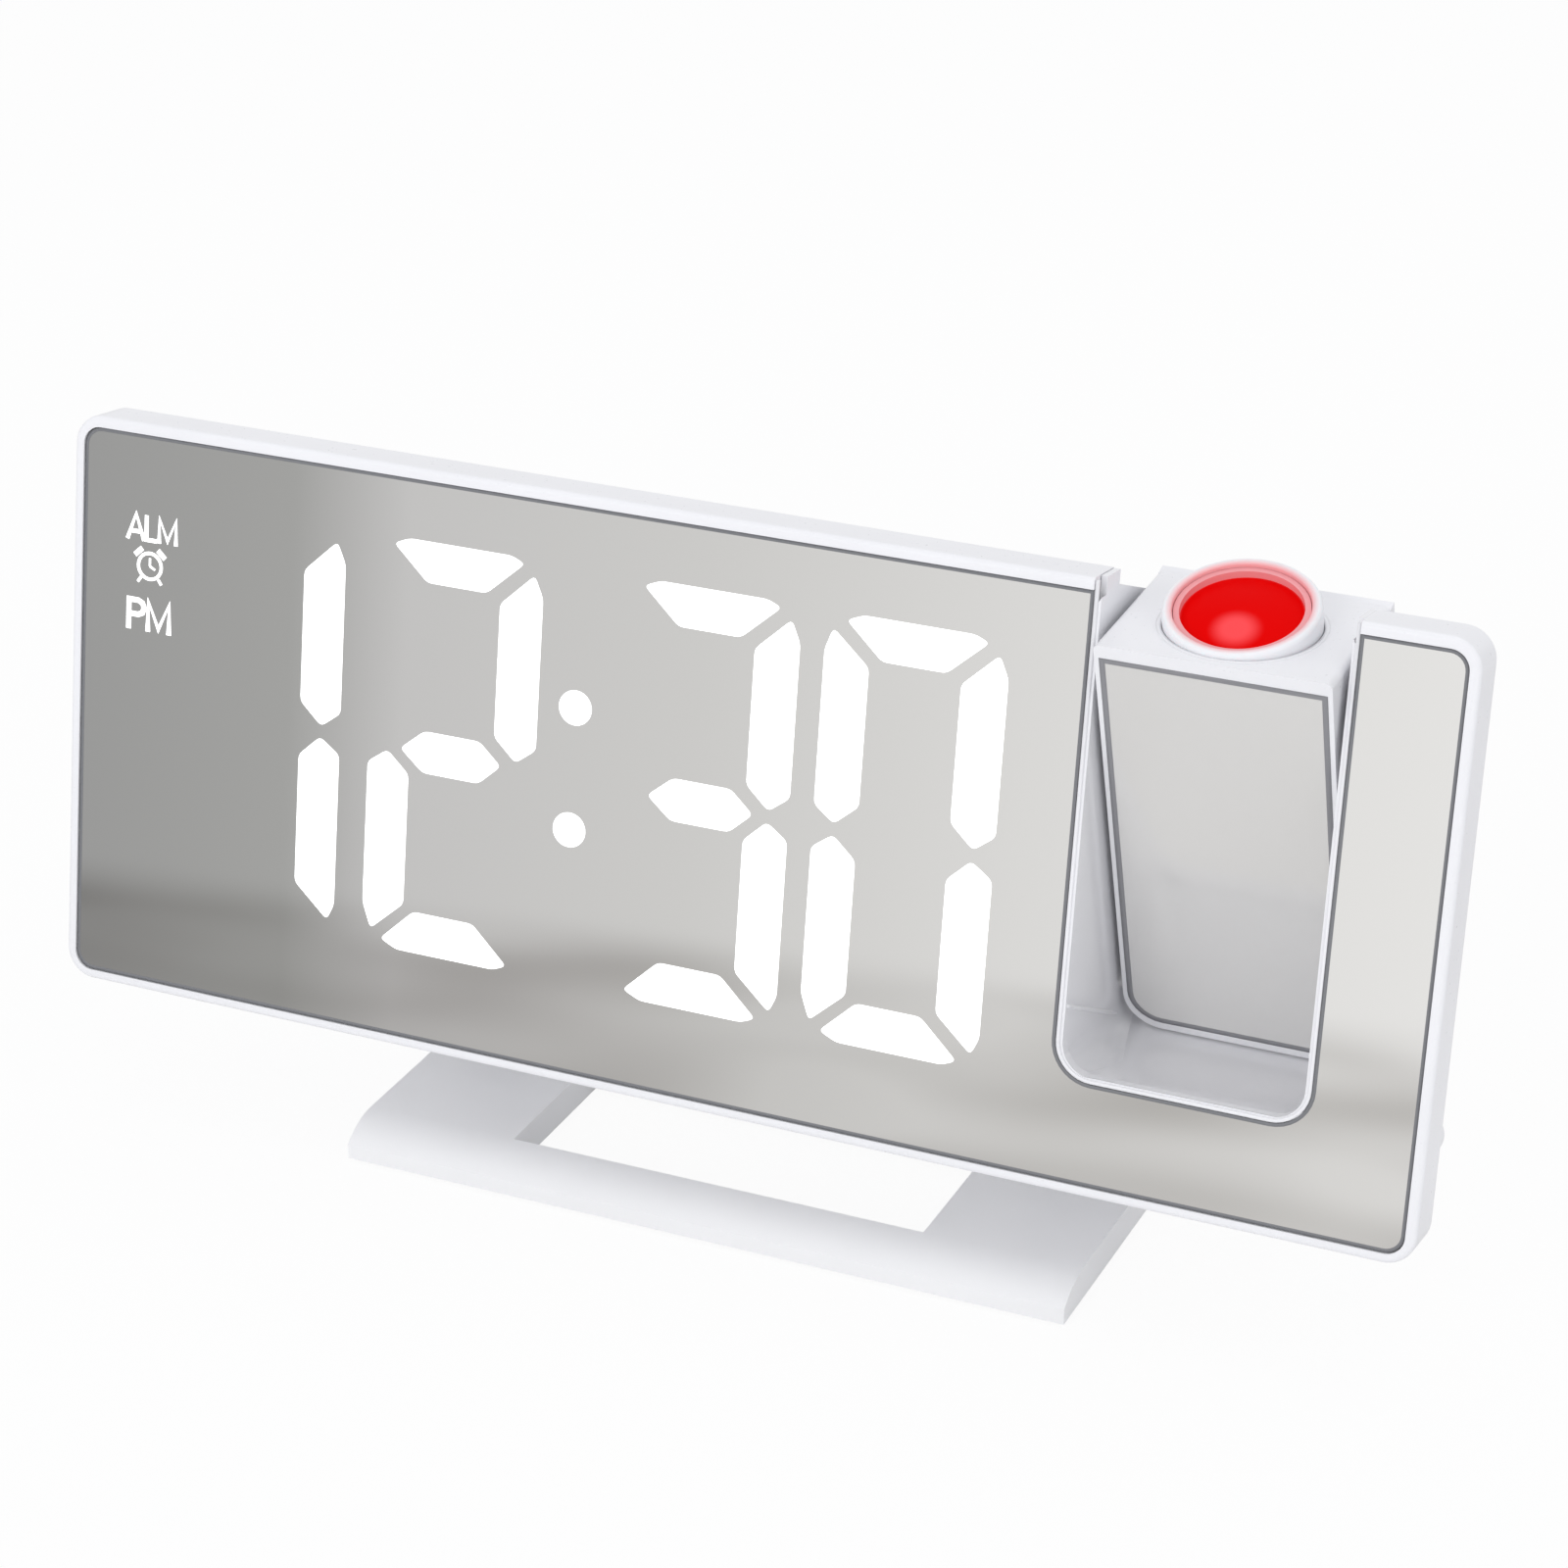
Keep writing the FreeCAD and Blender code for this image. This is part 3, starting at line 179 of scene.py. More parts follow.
def rounded_outline(left, right, low, top, radii):
    """Closed outline of a rectangle with a radius for each corner: quarter circles
    about centres set in from the corners, from the low left one round against the clock."""
    corners = [(left, low, 180), (right, low, 270), (right, top, 0), (left, top, 90)]
    points = []
    for (x, z, start), radius in zip(corners, radii):
        inward_x = radius if x == left else -radius
        inward_z = radius if z == low else -radius
        angle = np.radians(start + np.linspace(0, 90, CORNER_STEPS if radius else 1))
        points.append(np.stack([x + inward_x + radius * np.cos(angle),
                                z + inward_z + radius * np.sin(angle)], axis=1))
    return np.concatenate(points)


def notch_path(top):
    """Path down the slot's right side, across its foot and up its left side: straight lines
    joined by quarter circles of the slot's corner radius."""
    left, right = SLOT_CENTER - SLOT_WIDTH / 2, SLOT_CENTER + SLOT_WIDTH / 2
    bend = SLOT_CORNER
    angle = np.radians(np.linspace(0, 90, NOTCH_STEPS))
    right_bend = np.stack([right - bend + bend * np.cos(angle),
                           SLOT_FLOOR + bend - bend * np.sin(angle)], axis=1)
    left_bend = np.stack([left + bend - bend * np.sin(angle),
                          SLOT_FLOOR + bend - bend * np.cos(angle)], axis=1)
    return np.concatenate([[[right, top]], right_bend, left_bend, [[left, top]]])


def mirror_outline():
    """Mirror's rounded outline, with the slot's notch let into its top edge."""
    half = MIRROR_WIDTH / 2
    outer = rounded_outline(-half, half, 0, MIRROR_HEIGHT, [MIRROR_CORNER] * 4)
    before_last = 3 * CORNER_STEPS
    return np.concatenate([outer[:before_last], notch_path(MIRROR_HEIGHT), outer[before_last:]])


def circle_outline(x, z, radius):
    """Circle about a point."""
    angle = np.linspace(0, 2 * np.pi, DOT_STEPS, endpoint=False)
    return np.stack([x + radius * np.cos(angle), z + radius * np.sin(angle)], axis=1)


NEVER_ZERO = 1e-12          # keeps a step of no length from dividing by zero
LONGEST_MITER = 1.5         # most that a sharp bend may stretch a band's corner


def band_along(path, profile, ends_open=False):
    """Closed profile of across and out distances carried along a flat path: each point moves
    along the path's own sideways direction by across, stretched in bends so that the band keeps
    its width, and out of the face by out. A path whose ends are open gets a cap at each end."""
    path = np.asarray(path, float)
    ahead = np.roll(path, -1, axis=0) - path
    if ends_open:
        ahead[-1] = ahead[-2]
    ahead /= np.linalg.norm(ahead, axis=1)[:, None] + NEVER_ZERO
    behind = np.roll(ahead, 1, axis=0)
    if ends_open:
        behind[0] = ahead[0]
    side = np.stack([-(ahead + behind)[:, 1], (ahead + behind)[:, 0]], axis=1)
    length = np.linalg.norm(side, axis=1)[:, None]
    side /= length
    stretch = np.clip(2.0 / length, 1.0, LONGEST_MITER)
    profile = np.asarray(profile, float)
    flat = path[:, None, :] + side[:, None, :] * stretch[:, None, :] * profile[None, :, 0, None]
    out = np.broadcast_to(-profile[None, :, 1], flat.shape[:2])
    points = np.stack([flat[..., 0], out, flat[..., 1]], axis=2)
    faces = grid_faces(len(path), len(profile), wrap_rows=not ends_open, wrap_columns=True)
    caps = end_caps(len(path), len(profile)) if ends_open else []
    return points.reshape(-1, 3), faces.tolist() + caps


def arc_profile(center, radius, start, end, steps):
    """Points on a circle between two angles."""
    angle = np.radians(np.linspace(start, end, steps))
    return np.stack([center[0] + radius * np.cos(angle),
                     center[1] + radius * np.sin(angle)], axis=1)


def turned_surface(profile):
    """Profile of radius and height turned once round the light's way out."""
    profile = np.asarray(profile, float)
    angle = np.linspace(0, 2 * np.pi, TURN_STEPS, endpoint=False)
    x = profile[None, :, 0] * np.cos(angle)[:, None]
    y = profile[None, :, 0] * np.sin(angle)[:, None] + LENS_OFFSET
    z = np.broadcast_to(profile[None, :, 1], x.shape)
    points = np.stack([x, y, z], axis=2).reshape(-1, 3)
    return points, grid_faces(TURN_STEPS, len(profile), wrap_rows=True)


# Materials
def colour(code):
    """sRGB hex value as a linear colour."""
    parts = np.array([int(code[i:i + 2], 16) for i in (1, 3, 5)]) / 255
    linear = np.where(parts <= 0.04045, parts / 12.92, ((parts + 0.055) / 1.055) ** 2.4)
    return (*linear.tolist(), 1.0)


def new_material(name):
    """A node material, its tree and its surface shader."""
    material = bpy.data.materials.new(name)
    material.use_nodes = True
    tree = material.node_tree
    return material, tree, tree.nodes["Principled BSDF"]


def add(tree, kind, settings=None, links=None):
    """Add a node with its settings and input links."""
    node = tree.nodes.new(kind)
    for key, setting in (settings or {}).items():
        if isinstance(key, int) or key in node.inputs:
            node.inputs[key].default_value = setting
        else:
            setattr(node, key, setting)
    for key, source in (links or {}).items():
        tree.links.new(source, node.inputs[key])
    return node


def noise_scale(size):
    """Scale of a noise on Object coordinates whose features have this size."""
    return 1 / (size * MM)


CLOUD_SIZE = 22.0           # faint clouds in a moulding's colour
CLOUD_SHADE = 0.02          # how much darker a cloud is
NOISE_SPAN = (0.35, 0.65)    # the part of a noise's range that its tones are spread over
GRAIN_HEIGHT = 0.05
GRAIN_SMOOTHER = 0.03       # roughness in the grain's dips and on its crests
GRAIN_ROUGHER = 0.05


def moulded(name, code, roughness, grain, strength, metallic=0.0):
    """Moulded finish: the colour, a little darker in faint clouds, and a fine grain that
    moves the roughness and lifts the surface."""
    material, tree, shader = new_material(name)
    place = add(tree, "ShaderNodeTexCoord").outputs["Object"]
    grains = add(tree, "ShaderNodeTexNoise", {"Scale": noise_scale(grain), "Detail": 3.0},
                 {"Vector": place})
    clouds = add(tree, "ShaderNodeTexNoise", {"Scale": noise_scale(CLOUD_SIZE), "Detail": 2.0},
                 {"Vector": place})
    base = np.array(colour(code)[:3])
    ramp = add(tree, "ShaderNodeValToRGB", None, {"Fac": clouds.outputs["Fac"]})
    for step, position, share in zip(ramp.color_ramp.elements, NOISE_SPAN, (1 - CLOUD_SHADE, 1)):
        step.position = position
        step.color = (*(base * share), 1)
    rough = add(tree, "ShaderNodeMapRange", {"To Min": roughness - GRAIN_SMOOTHER,
                                             "To Max": roughness + GRAIN_ROUGHER},
                {"Value": grains.outputs["Fac"]})
    bump = add(tree, "ShaderNodeBump", {"Strength": strength, "Distance": GRAIN_HEIGHT * MM},
               {"Height": grains.outputs["Fac"]})
    tree.links.new(ramp.outputs["Color"], shader.inputs["Base Color"])
    tree.links.new(rough.outputs["Result"], shader.inputs["Roughness"])
    tree.links.new(bump.outputs["Normal"], shader.inputs["Normal"])
    shader.inputs["Metallic"].default_value = metallic
    return material


HAZE_SIZE = 60.0            # faint patches where the mirror's skin is less smooth
HAZE_ROUGHER = 0.04


def half_mirror(name, tones, span, roughness, film):
    """Half-mirror acrylic: a metal film under a smooth skin, with a painted reflection as a tone
    that runs along the face through the given steps, and a roughness that rises in faint patches."""
    material, tree, shader = new_material(name)
    place = add(tree, "ShaderNodeTexCoord").outputs["Object"]
    split = add(tree, "ShaderNodeSeparateXYZ", None, {"Vector": place})
    along = add(tree, "ShaderNodeMapRange", {"From Min": span[0] * MM, "From Max": span[1] * MM},
                {"Value": split.outputs["X"]})
    ramp = add(tree, "ShaderNodeValToRGB", None, {"Fac": along.outputs["Result"]})
    steps = ramp.color_ramp.elements
    while len(steps) < len(tones):
        steps.new(1.0)
    for step, (position, code) in zip(steps, tones):
        step.position = position
        step.color = colour(code)
    haze = add(tree, "ShaderNodeTexNoise", {"Scale": noise_scale(HAZE_SIZE), "Detail": 2.0},
               {"Vector": place})
    rough = add(tree, "ShaderNodeMapRange", {"To Min": roughness,
                                             "To Max": roughness + HAZE_ROUGHER},
                {"Value": haze.outputs["Fac"]})
    tree.links.new(ramp.outputs["Color"], shader.inputs["Base Color"])
    tree.links.new(rough.outputs["Result"], shader.inputs["Roughness"])
    shader.inputs["Metallic"].default_value = film
    return material


def lit(name, code):
    """Milky window with a light behind it: an even glow of its own that hides the mirror."""
    material, tree, shader = new_material(name)
    shader.inputs["Base Color"].default_value = colour(code)
    shader.inputs["Emission Color"].default_value = colour(code)
    shader.inputs["Emission Strength"].default_value = 1.0
    shader.inputs["Roughness"].default_value = 0.5
    return material


# Painted light on the lens over its red, a pale pool low in the middle and a pink glow at the rim:
# centre about the pivot,
# # the distances from it between which the painted light changes, its colour, and whether it lies
# inside or outside them
LENS_RED = "#D20000"
LENS_PAINTED_LIGHTS = (((0.3, LENS_OFFSET - 3.4, RING_LEVEL - 0.6), (1.2, 3.6), "#E9494D", "inside"),
              ((0, LENS_OFFSET, RING_LEVEL - 1.0), (7.2, 8.0), "#EE6A70", "outside"))
MIX_FIRST, MIX_SECOND, MIX_RESULT = 6, 7, 2     # colour sockets of a Mix node


def red_lens_material():
    """Moulded lens acrylic, dyed through: deep red that glows a little, with a paler pool of light
    painted low in its middle, and a painted pink glow at the edge where it meets the ring."""
    material, tree, shader = new_material("red_lens_acrylic_painted_light")
    place = add(tree, "ShaderNodeTexCoord").outputs["Object"]
    shade = None
    for center, (near, far), code, where in LENS_PAINTED_LIGHTS:
        reach = add(tree, "ShaderNodeVectorMath",
                    {"operation": "DISTANCE", 1: on_block([center])[0].tolist()}, {0: place})
        start, end = (1.0, 0.0) if where == "inside" else (0.0, 1.0)
        share = add(tree, "ShaderNodeMapRange",
                    {"interpolation_type": "SMOOTHSTEP", "From Min": near * MM,
                     "From Max": far * MM, "To Min": start, "To Max": end},
                    {"Value": reach.outputs["Value"]})
        mix = add(tree, "ShaderNodeMix", {"data_type": "RGBA", MIX_FIRST: colour(LENS_RED),
                                          MIX_SECOND: colour(code)},
                  {"Factor": share.outputs["Result"]})
        if shade is not None:
            tree.links.new(shade, mix.inputs[MIX_FIRST])
        shade = mix.outputs[MIX_RESULT]
    tree.links.new(shade, shader.inputs["Base Color"])
    tree.links.new(shade, shader.inputs["Emission Color"])
    shader.inputs["Emission Strength"].default_value = 0.25
    shader.inputs["Specular IOR Level"].default_value = 0.02
    shader.inputs["Roughness"].default_value = 0.4
    return material


# The ring's pink is the lens's red light, painted on its inner wall
RING_PAINTED_GLOW_REACH = (8.2, 9.2)        # distances from the axis between which pink turns to white
RING_GLOW_DEPTH = (2.0, 1.2, 1.2)   # how deep red, green and blue light sinks in


def ring_material():
    """Moulded milky acrylic: soft white that light sinks into, with the lens's red light painted
    pink on its inner wall. The painted glow follows the distance from the ring's axis, which is
    the offset from the axis's foot less its share along the axis."""
    material, tree, shader = new_material("milky_ring_acrylic")
    place = add(tree, "ShaderNodeTexCoord").outputs["Object"]
    foot = on_block([[0, LENS_OFFSET, 0]])[0].tolist()
    up = BLOCK_TURN[:, 2].tolist()
    away = add(tree, "ShaderNodeVectorMath", {"operation": "SUBTRACT", 1: foot}, {0: place})
    along = add(tree, "ShaderNodeVectorMath", {"operation": "DOT_PRODUCT", 1: up},
                {0: away.outputs["Vector"]})
    rise = add(tree, "ShaderNodeVectorMath", {"operation": "SCALE", 0: up},
               {"Scale": along.outputs["Value"]})
    across = add(tree, "ShaderNodeVectorMath", {"operation": "SUBTRACT"},
                 {0: away.outputs["Vector"], 1: rise.outputs["Vector"]})
    reach = add(tree, "ShaderNodeVectorMath", {"operation": "LENGTH"},
                {0: across.outputs["Vector"]})
    share = add(tree, "ShaderNodeMapRange", {"From Min": RING_PAINTED_GLOW_REACH[0] * MM,
                                             "From Max": RING_PAINTED_GLOW_REACH[1] * MM},
                {"Value": reach.outputs["Value"]})
    ramp = add(tree, "ShaderNodeValToRGB", None, {"Fac": share.outputs["Result"]})
    # Painted pink glow from the lens, then the ring's own white
    for step, code in zip(ramp.color_ramp.elements, ("#F4A3A6", "#F2F2F5")):
        step.color = colour(code)
    tree.links.new(ramp.outputs["Color"], shader.inputs["Base Color"])
    shader.inputs["Roughness"].default_value = 0.35
    shader.inputs["Subsurface Weight"].default_value = 0.2
    shader.inputs["Subsurface Radius"].default_value = [depth * MM for depth in RING_GLOW_DEPTH]
    return material


# The real grain of these finishes is under 0.1 mm. It is drawn 0.3 to 3 mm wide so that it
# shows.
# ABS from a polished tool: clean, soft-edged highlights on white
WHITE = moulded("gloss_white_abs", "#F2F2F5", 0.28, 0.5, 0.10)
# ABS from a lightly etched tool: an even white without clear reflections
STAND_WHITE = moulded("satin_white_abs", "#F6F6F7", 0.45, 0.45, 0.22)
# ABS from the most polished tool: the slot's walls mirror the block a little
LINER = moulded("gloss_grey_abs", "#F0F0F3", 0.16, 0.6, 0.08)
# ABS from an etched tool: buttons a tone darker than the shell, and duller
BUTTON = moulded("satin_grey_abs", "#D9D9DC", 0.42, 0.4, 0.2)
# Milky acrylic, with the lens's red light painted on as its pink colour: a pink wall below the ring
LENS_GLOW_CELL = moulded("milky_cell_painted_lens_glow", "#F0A2A6", 0.4, 0.5, 0.1)
# Black ABS from an etched tool: swallows stray light
BLACK = moulded("matt_black_abs", "#1B1B1D", 0.55, 0.4, 0.3)
# Pressed rubber: dark and dull, with the strongest grain
RUBBER = moulded("grey_rubber", "#4A4A4C", 0.8, 0.5, 0.5)
# Drawn steel: bright grey metal with a slightly broken reflection
STEEL = moulded("bright_steel", "#B9BABD", 0.3, 0.3, 0.1, metallic=1.0)
# Printed lacquer on a circuit board: even green with a low gloss
BOARD = moulded("green_solder_resist", "#1D5B36", 0.35, 1.0, 0.2)
# A thin grey line round each mirror; round the block's mirror it also runs out over the rim as
# painted shadow in the gap
BLOCK_MIRROR_LINE_AND_GAP_SHADE = moulded("grey_mirror_line_and_painted_gap_shade", "#8C8C90", 0.4, 0.5, 0.1)
TRIM = moulded("dark_mirror_edge", "#7A7B7F", 0.35, 0.5, 0.1)
# Moulded milky acrylic: soft white without depth
MILKY = moulded("milky_acrylic", "#F4F4F4", 0.4, 0.6, 0.05)
# Float glass: the film display's smooth, faintly green face
FILM = moulded("film_glass", "#CFE0E0", 0.1, 3.0, 0.02)

# Metallised acrylic sheet: it mirrors clearly, in a grey that pales from left to right as a painted
# reflection of the room
MIRROR_PAINTED_REFLECTION_TONES = [(0.0, "#9A9A99"), (0.17, "#A2A2A0"), (0.26, "#C3C2C1"), (0.48, "#CBCAC8"),
                (0.72, "#D9D8D6"), (1.0, "#E4E3E1")]
MIRROR = half_mirror("half_mirror_acrylic", MIRROR_PAINTED_REFLECTION_TONES, (-MIRROR_WIDTH / 2, MIRROR_WIDTH / 2),
                     0.03, 1.0)
# The same sheet with a thinner film on the block: paler, in an even tone that is a painted pale
# reflection, and softer in what it mirrors
BLOCK_MIRROR_SPAN = (50.0, 78.0)
BLOCK_MIRROR = half_mirror("small_mirror_acrylic", [(0.0, "#E4E3E1"), (1.0, "#E3E2E0")],
                           BLOCK_MIRROR_SPAN, 0.1, 0.35)
LIT = lit("lit_white_window", "#FFFFFF")

NODE_MATERIALS = {
    "white_abs": WHITE, "liner_abs": LINER, "button_abs": BUTTON, "mirror_acrylic": MIRROR,
    "black_abs": BLACK, "milky_acrylic": MILKY, "red_acrylic": MILKY, "circuit_board": BOARD,
    "steel": STEEL, "rubber": RUBBER, "glass": FILM,
}
SPECIAL_MATERIALS = {"stand_bracket": STAND_WHITE, "projector_mirror": BLOCK_MIRROR,
                     "lens_cell": LENS_GLOW_CELL}


def dress_nodes():
    """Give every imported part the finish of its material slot, or its own."""
    slots = {part["node"]: part["material_slot"] for part in frame["record"]["subparts"]}
    for name, node in frame["nodes"].items():
        node.data.materials.clear()
        node.data.materials.append(SPECIAL_MATERIALS.get(name) or NODE_MATERIALS[slots[name]])


# Lit figures and marks: thin skins over the mirror
FIGURE_BASE = 11.9
FIGURE_TOP = 67.3
FIGURE_WIDTH = 24.2
STROKE = 6.0
FIGURE_LEFTS = {"1": -78.2, "2": -49.7, "3": -14.2, "0": 13.3}
FIGURE_STROKES = {
    "1": ["upper_right", "lower_right"],
    "2": ["top", "upper_right", "middle", "lower_left", "bottom"],
    "3": ["top", "upper_right", "middle", "lower_right", "bottom"],
    "0": ["top", "upper_left", "upper_right", "lower_left", "lower_right", "bottom"],
}
STROKE_ROUND = 0.7
STROKE_ROUND_STEPS = 4
DOT_ACROSS = -20.2
DOT_HEIGHTS = (49.0, 32.8)
DOT_RADIUS = 2.3
SKIN_OUT = 0.06             # how far a skin stands out of the mirror
SKIN_IN = -0.02             # and where its back lies, just inside it


def stroke_shapes():
    """Corner points of the seven strokes of one figure whose left edge is at zero, in
    distances from the figure's edges and middle. Upright strokes are bars with a clipped outer
    corner and a blunt point towards the middle; level ones are bars that narrow inwards, the
    lowest and highest with a long sharp end."""
    w, low, top = FIGURE_WIDTH, FIGURE_BASE, FIGURE_TOP
    mid = (low + top) / 2 - 0.1
    inner = w - STROKE
    return {
        "upper_right": [(w - 1.3, top - 2.1), (w, top - 4.9), (w, mid + 2.9),
                        (w - 2.8, mid + 0.8), (inner, mid + 3.7), (inner, top - 6.5)],
        "lower_right": [(w - 2.9, mid - 0.7), (w, mid - 2.7), (w, low + 4.3),
                        (w - 1.0, low + 2.1), (inner, low + 6.5), (inner, mid - 3.6)],
        "upper_left": [(1.0, top - 2.2), (STROKE, top - 6.5), (STROKE, mid + 3.5),
                       (2.8, mid + 0.8), (0.0, mid + 2.9), (0.0, top - 5.0)],
        "lower_left": [(2.8, mid - 0.7), (STROKE, mid - 3.5), (STROKE, low + 6.4),
                       (1.3, low + 2.2), (0.0, low + 5.6), (0.0, mid - 2.7)],
        "top": [(2.7, top - 0.9), (4.9, top), (w - 4.7, top), (w - 2.8, top - 0.8),
                (w - 8.0, top - 5.4), (7.7, top - 5.4)],
        "middle": [(4.7, mid - 0.1), (8.1, mid + 2.7), (w - 8.1, mid + 2.7),
                   (w - 4.9, mid - 0.1), (w - 8.0, mid - 2.9), (8.1, mid - 2.9)],
        "bottom": [(2.8, low + 1.1), (7.5, low + 5.6), (w - 8.0, low + 5.6),
                   (w - 2.8, low + 0.8), (w - 4.7, low), (5.2, low)],
    }


def soft_corners(points):
    """Outline with each corner cut back and bridged by a curve: a quadratic bend between
    points a radius away along both sides."""
    points = np.asarray(points, float)
    into = np.roll(points, 1, axis=0) - points
    out = np.roll(points, -1, axis=0) - points
    into /= np.linalg.norm(into, axis=1)[:, None]
    out /= np.linalg.norm(out, axis=1)[:, None]
    t = np.linspace(0, 1, STROKE_ROUND_STEPS)[None, :, None]
    start = (points + into * STROKE_ROUND)[:, None]
    end = (points + out * STROKE_ROUND)[:, None]
    bend = (1 - t) ** 2 * start + 2 * t * (1 - t) * points[:, None] + t ** 2 * end
    return bend.reshape(-1, 2)


def flat_tiles(outlines):
    """Thin closed skins over flat outlines: a front, a back and a wall between them."""
    points, faces, start = [], [], 0
    for outline in outlines:
        count = len(outline)
        for level in (SKIN_OUT, SKIN_IN):
            points.append(np.stack([outline[:, 0], np.full(count, -level), outline[:, 1]], axis=1))
        ring = np.arange(count)
        after = (ring + 1) % count
        faces += [(start + ring).tolist(), (start + count + ring[::-1]).tolist()]
        faces += (start + np.stack([ring, count + ring, count + after, after], axis=1)).tolist()
        start += 2 * count
    return np.concatenate(points), faces


def make_figures():
    """The figures of the time and the colon's two dots."""
    shapes = stroke_shapes()
    outlines = [soft_corners(np.array(shapes[stroke]) + [left, 0])
                for figure, left in FIGURE_LEFTS.items() for stroke in FIGURE_STROKES[figure]]
    outlines += [circle_outline(DOT_ACROSS, height, DOT_RADIUS) for height in DOT_HEIGHTS]
    points, faces = flat_tiles(outlines)
    mesh_piece("lit_figures", on_face(points), faces, "clock", LIT, smooth=False)


LETTERS = {                 # width and strokes of plain capitals, one unit high
    "A": (0.86, [[(0.03, 0.0), (0.43, 1.0), (0.83, 0.0)], [(0.17, 0.33), (0.69, 0.33)]]),
    "L": (0.62, [[(0.08, 1.0), (0.08, 0.06), (0.58, 0.06)]]),
    "M": (0.98, [[(0.08, 0.0), (0.08, 0.96), (0.48, 0.12), (0.88, 0.96), (0.88, 0.0)]]),
    "P": (0.74, [[(0.08, 0.0), (0.08, 0.94), (0.44, 0.94), (0.6, 0.87), (0.66, 0.72), (0.6, 0.56),
                  (0.44, 0.49), (0.08, 0.49)]]),
}
# Name, letters, left end, foot, height, width and stroke width of each word
WORDS = (("alarm_word", "ALM", -86.9, 60.9, 3.5, 7.8, 0.56),
         ("afternoon_word", "PM", -86.7, 48.7, 4.3, 6.9, 0.72))


def skin_profile(width):
    """Cross-section of a lit ribbon."""
    half = width / 2
    return [(-half, SKIN_OUT), (half, SKIN_OUT), (half, SKIN_IN), (-half, SKIN_IN)]


def make_words():
    """Small lit words beside the figures: each letter's strokes are flat ribbons of one width
    carried along its lines."""
    for name, text, x, z, height, width, pen in WORDS:
        stretch = width / sum(LETTERS[letter][0] for letter in text)
        points, faces, start, left = [], [], 0, 0.0
        for letter in text:
            advance, strokes = LETTERS[letter]
            for stroke in strokes:
                line = np.array(stroke) * [stretch, height] + [x + left * stretch, z]
                ribbon, sides = band_along(line, skin_profile(pen), ends_open=True)
                points.append(ribbon)
                faces += [[index + start for index in face] for face in sides]
                start += len(ribbon)
            left += advance
        mesh_piece(name, on_face(np.concatenate(points)), faces, "clock", LIT,
                   smooth=False)


# Bell clock mark: its middle, its ring, and its bars as start, end and width about the middle
MARK_CENTER = (-83.3, 57.6)
MARK_RADIUS = 1.75
MARK_PEN = 0.44
MARK_HANDS = (((0, 0), (0, 1.1), 0.3), ((0, 0), (0.8, -0.4), 0.3))
MARK_FEET = (((-1.3, -1.6), (-1.8, -2.3), 0.4), ((1.3, -1.6), (1.8, -2.3), 0.4))
MARK_BELLS = (((-2.3, 1.3), (-1.2, 2.3), 0.7), ((1.2, 2.3), (2.3, 1.3), 0.7))


def make_alarm_mark():
    """A plain bell clock: a ring, two hands, two feet and two bells."""
    ring, ring_faces = band_along(circle_outline(*MARK_CENTER, MARK_RADIUS),
                                  skin_profile(MARK_PEN))
    bars = []
    for start, end, width in MARK_HANDS + MARK_FEET + MARK_BELLS:
        first, last = np.array(start, float), np.array(end, float)
        along = (last - first) / np.linalg.norm(last - first)
        side = np.array([-along[1], along[0]]) * width / 2
        bars.append(np.array([first + side, first - side, last - side, last + side])
                    + MARK_CENTER)
    tiles, tile_faces = flat_tiles(bars)
    points = np.concatenate([ring, tiles])
    faces = ring_faces + [[index + len(ring) for index in face] for face in tile_faces]
    mesh_piece("alarm_mark", on_face(points), faces, "clock", LIT, smooth=False)


# Profiles of the thin trims, in distances across the edge and out of the face
MIRROR_EDGE = [(0.0, 0.05), (0.42, 0.05), (0.5, -0.05), (0.0, -0.05)]
# The block's line reaches 0.4 mm out over the rim beside the mirror: painted shadow in the gap
SMALL_MIRROR_LINE_AND_GAP_SHADE = [(-0.4, 0.05), (0.3, 0.05), (0.36, -0.05), (-0.4, -0.05)]
SLOT_LIP = [(-0.08, -0.3), (-0.08, 0.04), (-0.3, 0.12), (-0.52, 0.04), (-0.58, -0.3)]
LIP_END_DROP = 0.3          # the lip's ends below the body's top

# Moulded lines on the slot's side walls: name, height at the mouth, fall for each millimetre of
# depth, and thickness
WALL_LINES = (("bead", 22.8, 0.35, 0.3), ("crease", 15.2, 0.085, 0.22))
WALL_LINE_DEPTHS = (0.6, 24.0)
WALL_LINE_STEPS = 24
WALL_LINE_SWELL_STEPS = 8
WALL_LINE_SQUASH = 0.7      # how far it stands out, as a share of its thickness
WALL_LINE_SINK = 0.02       # how deep its edges sit in the wall


def make_trims():
    """Dark line round both mirrors, which round the block's mirror also runs out over the rim as
    painted shadow in the gap; the slot's thin white lip; and the moulded lines on the slot's walls."""
    points, faces = band_along(mirror_outline(), MIRROR_EDGE)
    mesh_piece("mirror_edge_line", on_face(points), faces, "clock", TRIM)
    half = BLOCK_MIRROR_WIDTH / 2
    outline = rounded_outline(-half, half, -BLOCK_MIRROR_BOTTOM, BLOCK_MIRROR_TOP,
                              [BLOCK_MIRROR_CORNER, BLOCK_MIRROR_CORNER, 0, 0])
    points, faces = band_along(outline, SMALL_MIRROR_LINE_AND_GAP_SHADE)
    points[:, 1] -= BLOCK_FRONT
    mesh_piece("small_mirror_line_and_painted_gap_shade", on_block(points), faces, "projector",
               BLOCK_MIRROR_LINE_AND_GAP_SHADE)
    points, faces = band_along(notch_path(BODY_TOP - LIP_END_DROP), SLOT_LIP, ends_open=True)
    mesh_piece("slot_lip", on_face(points), faces, "clock", WHITE)
    for side, hand in ((-1, "left"), (1, "right")):
        for kind, rise, fall, thick in WALL_LINES:
            make_wall_line("slot_%s_%s" % (kind, hand), side, rise, fall, thick)


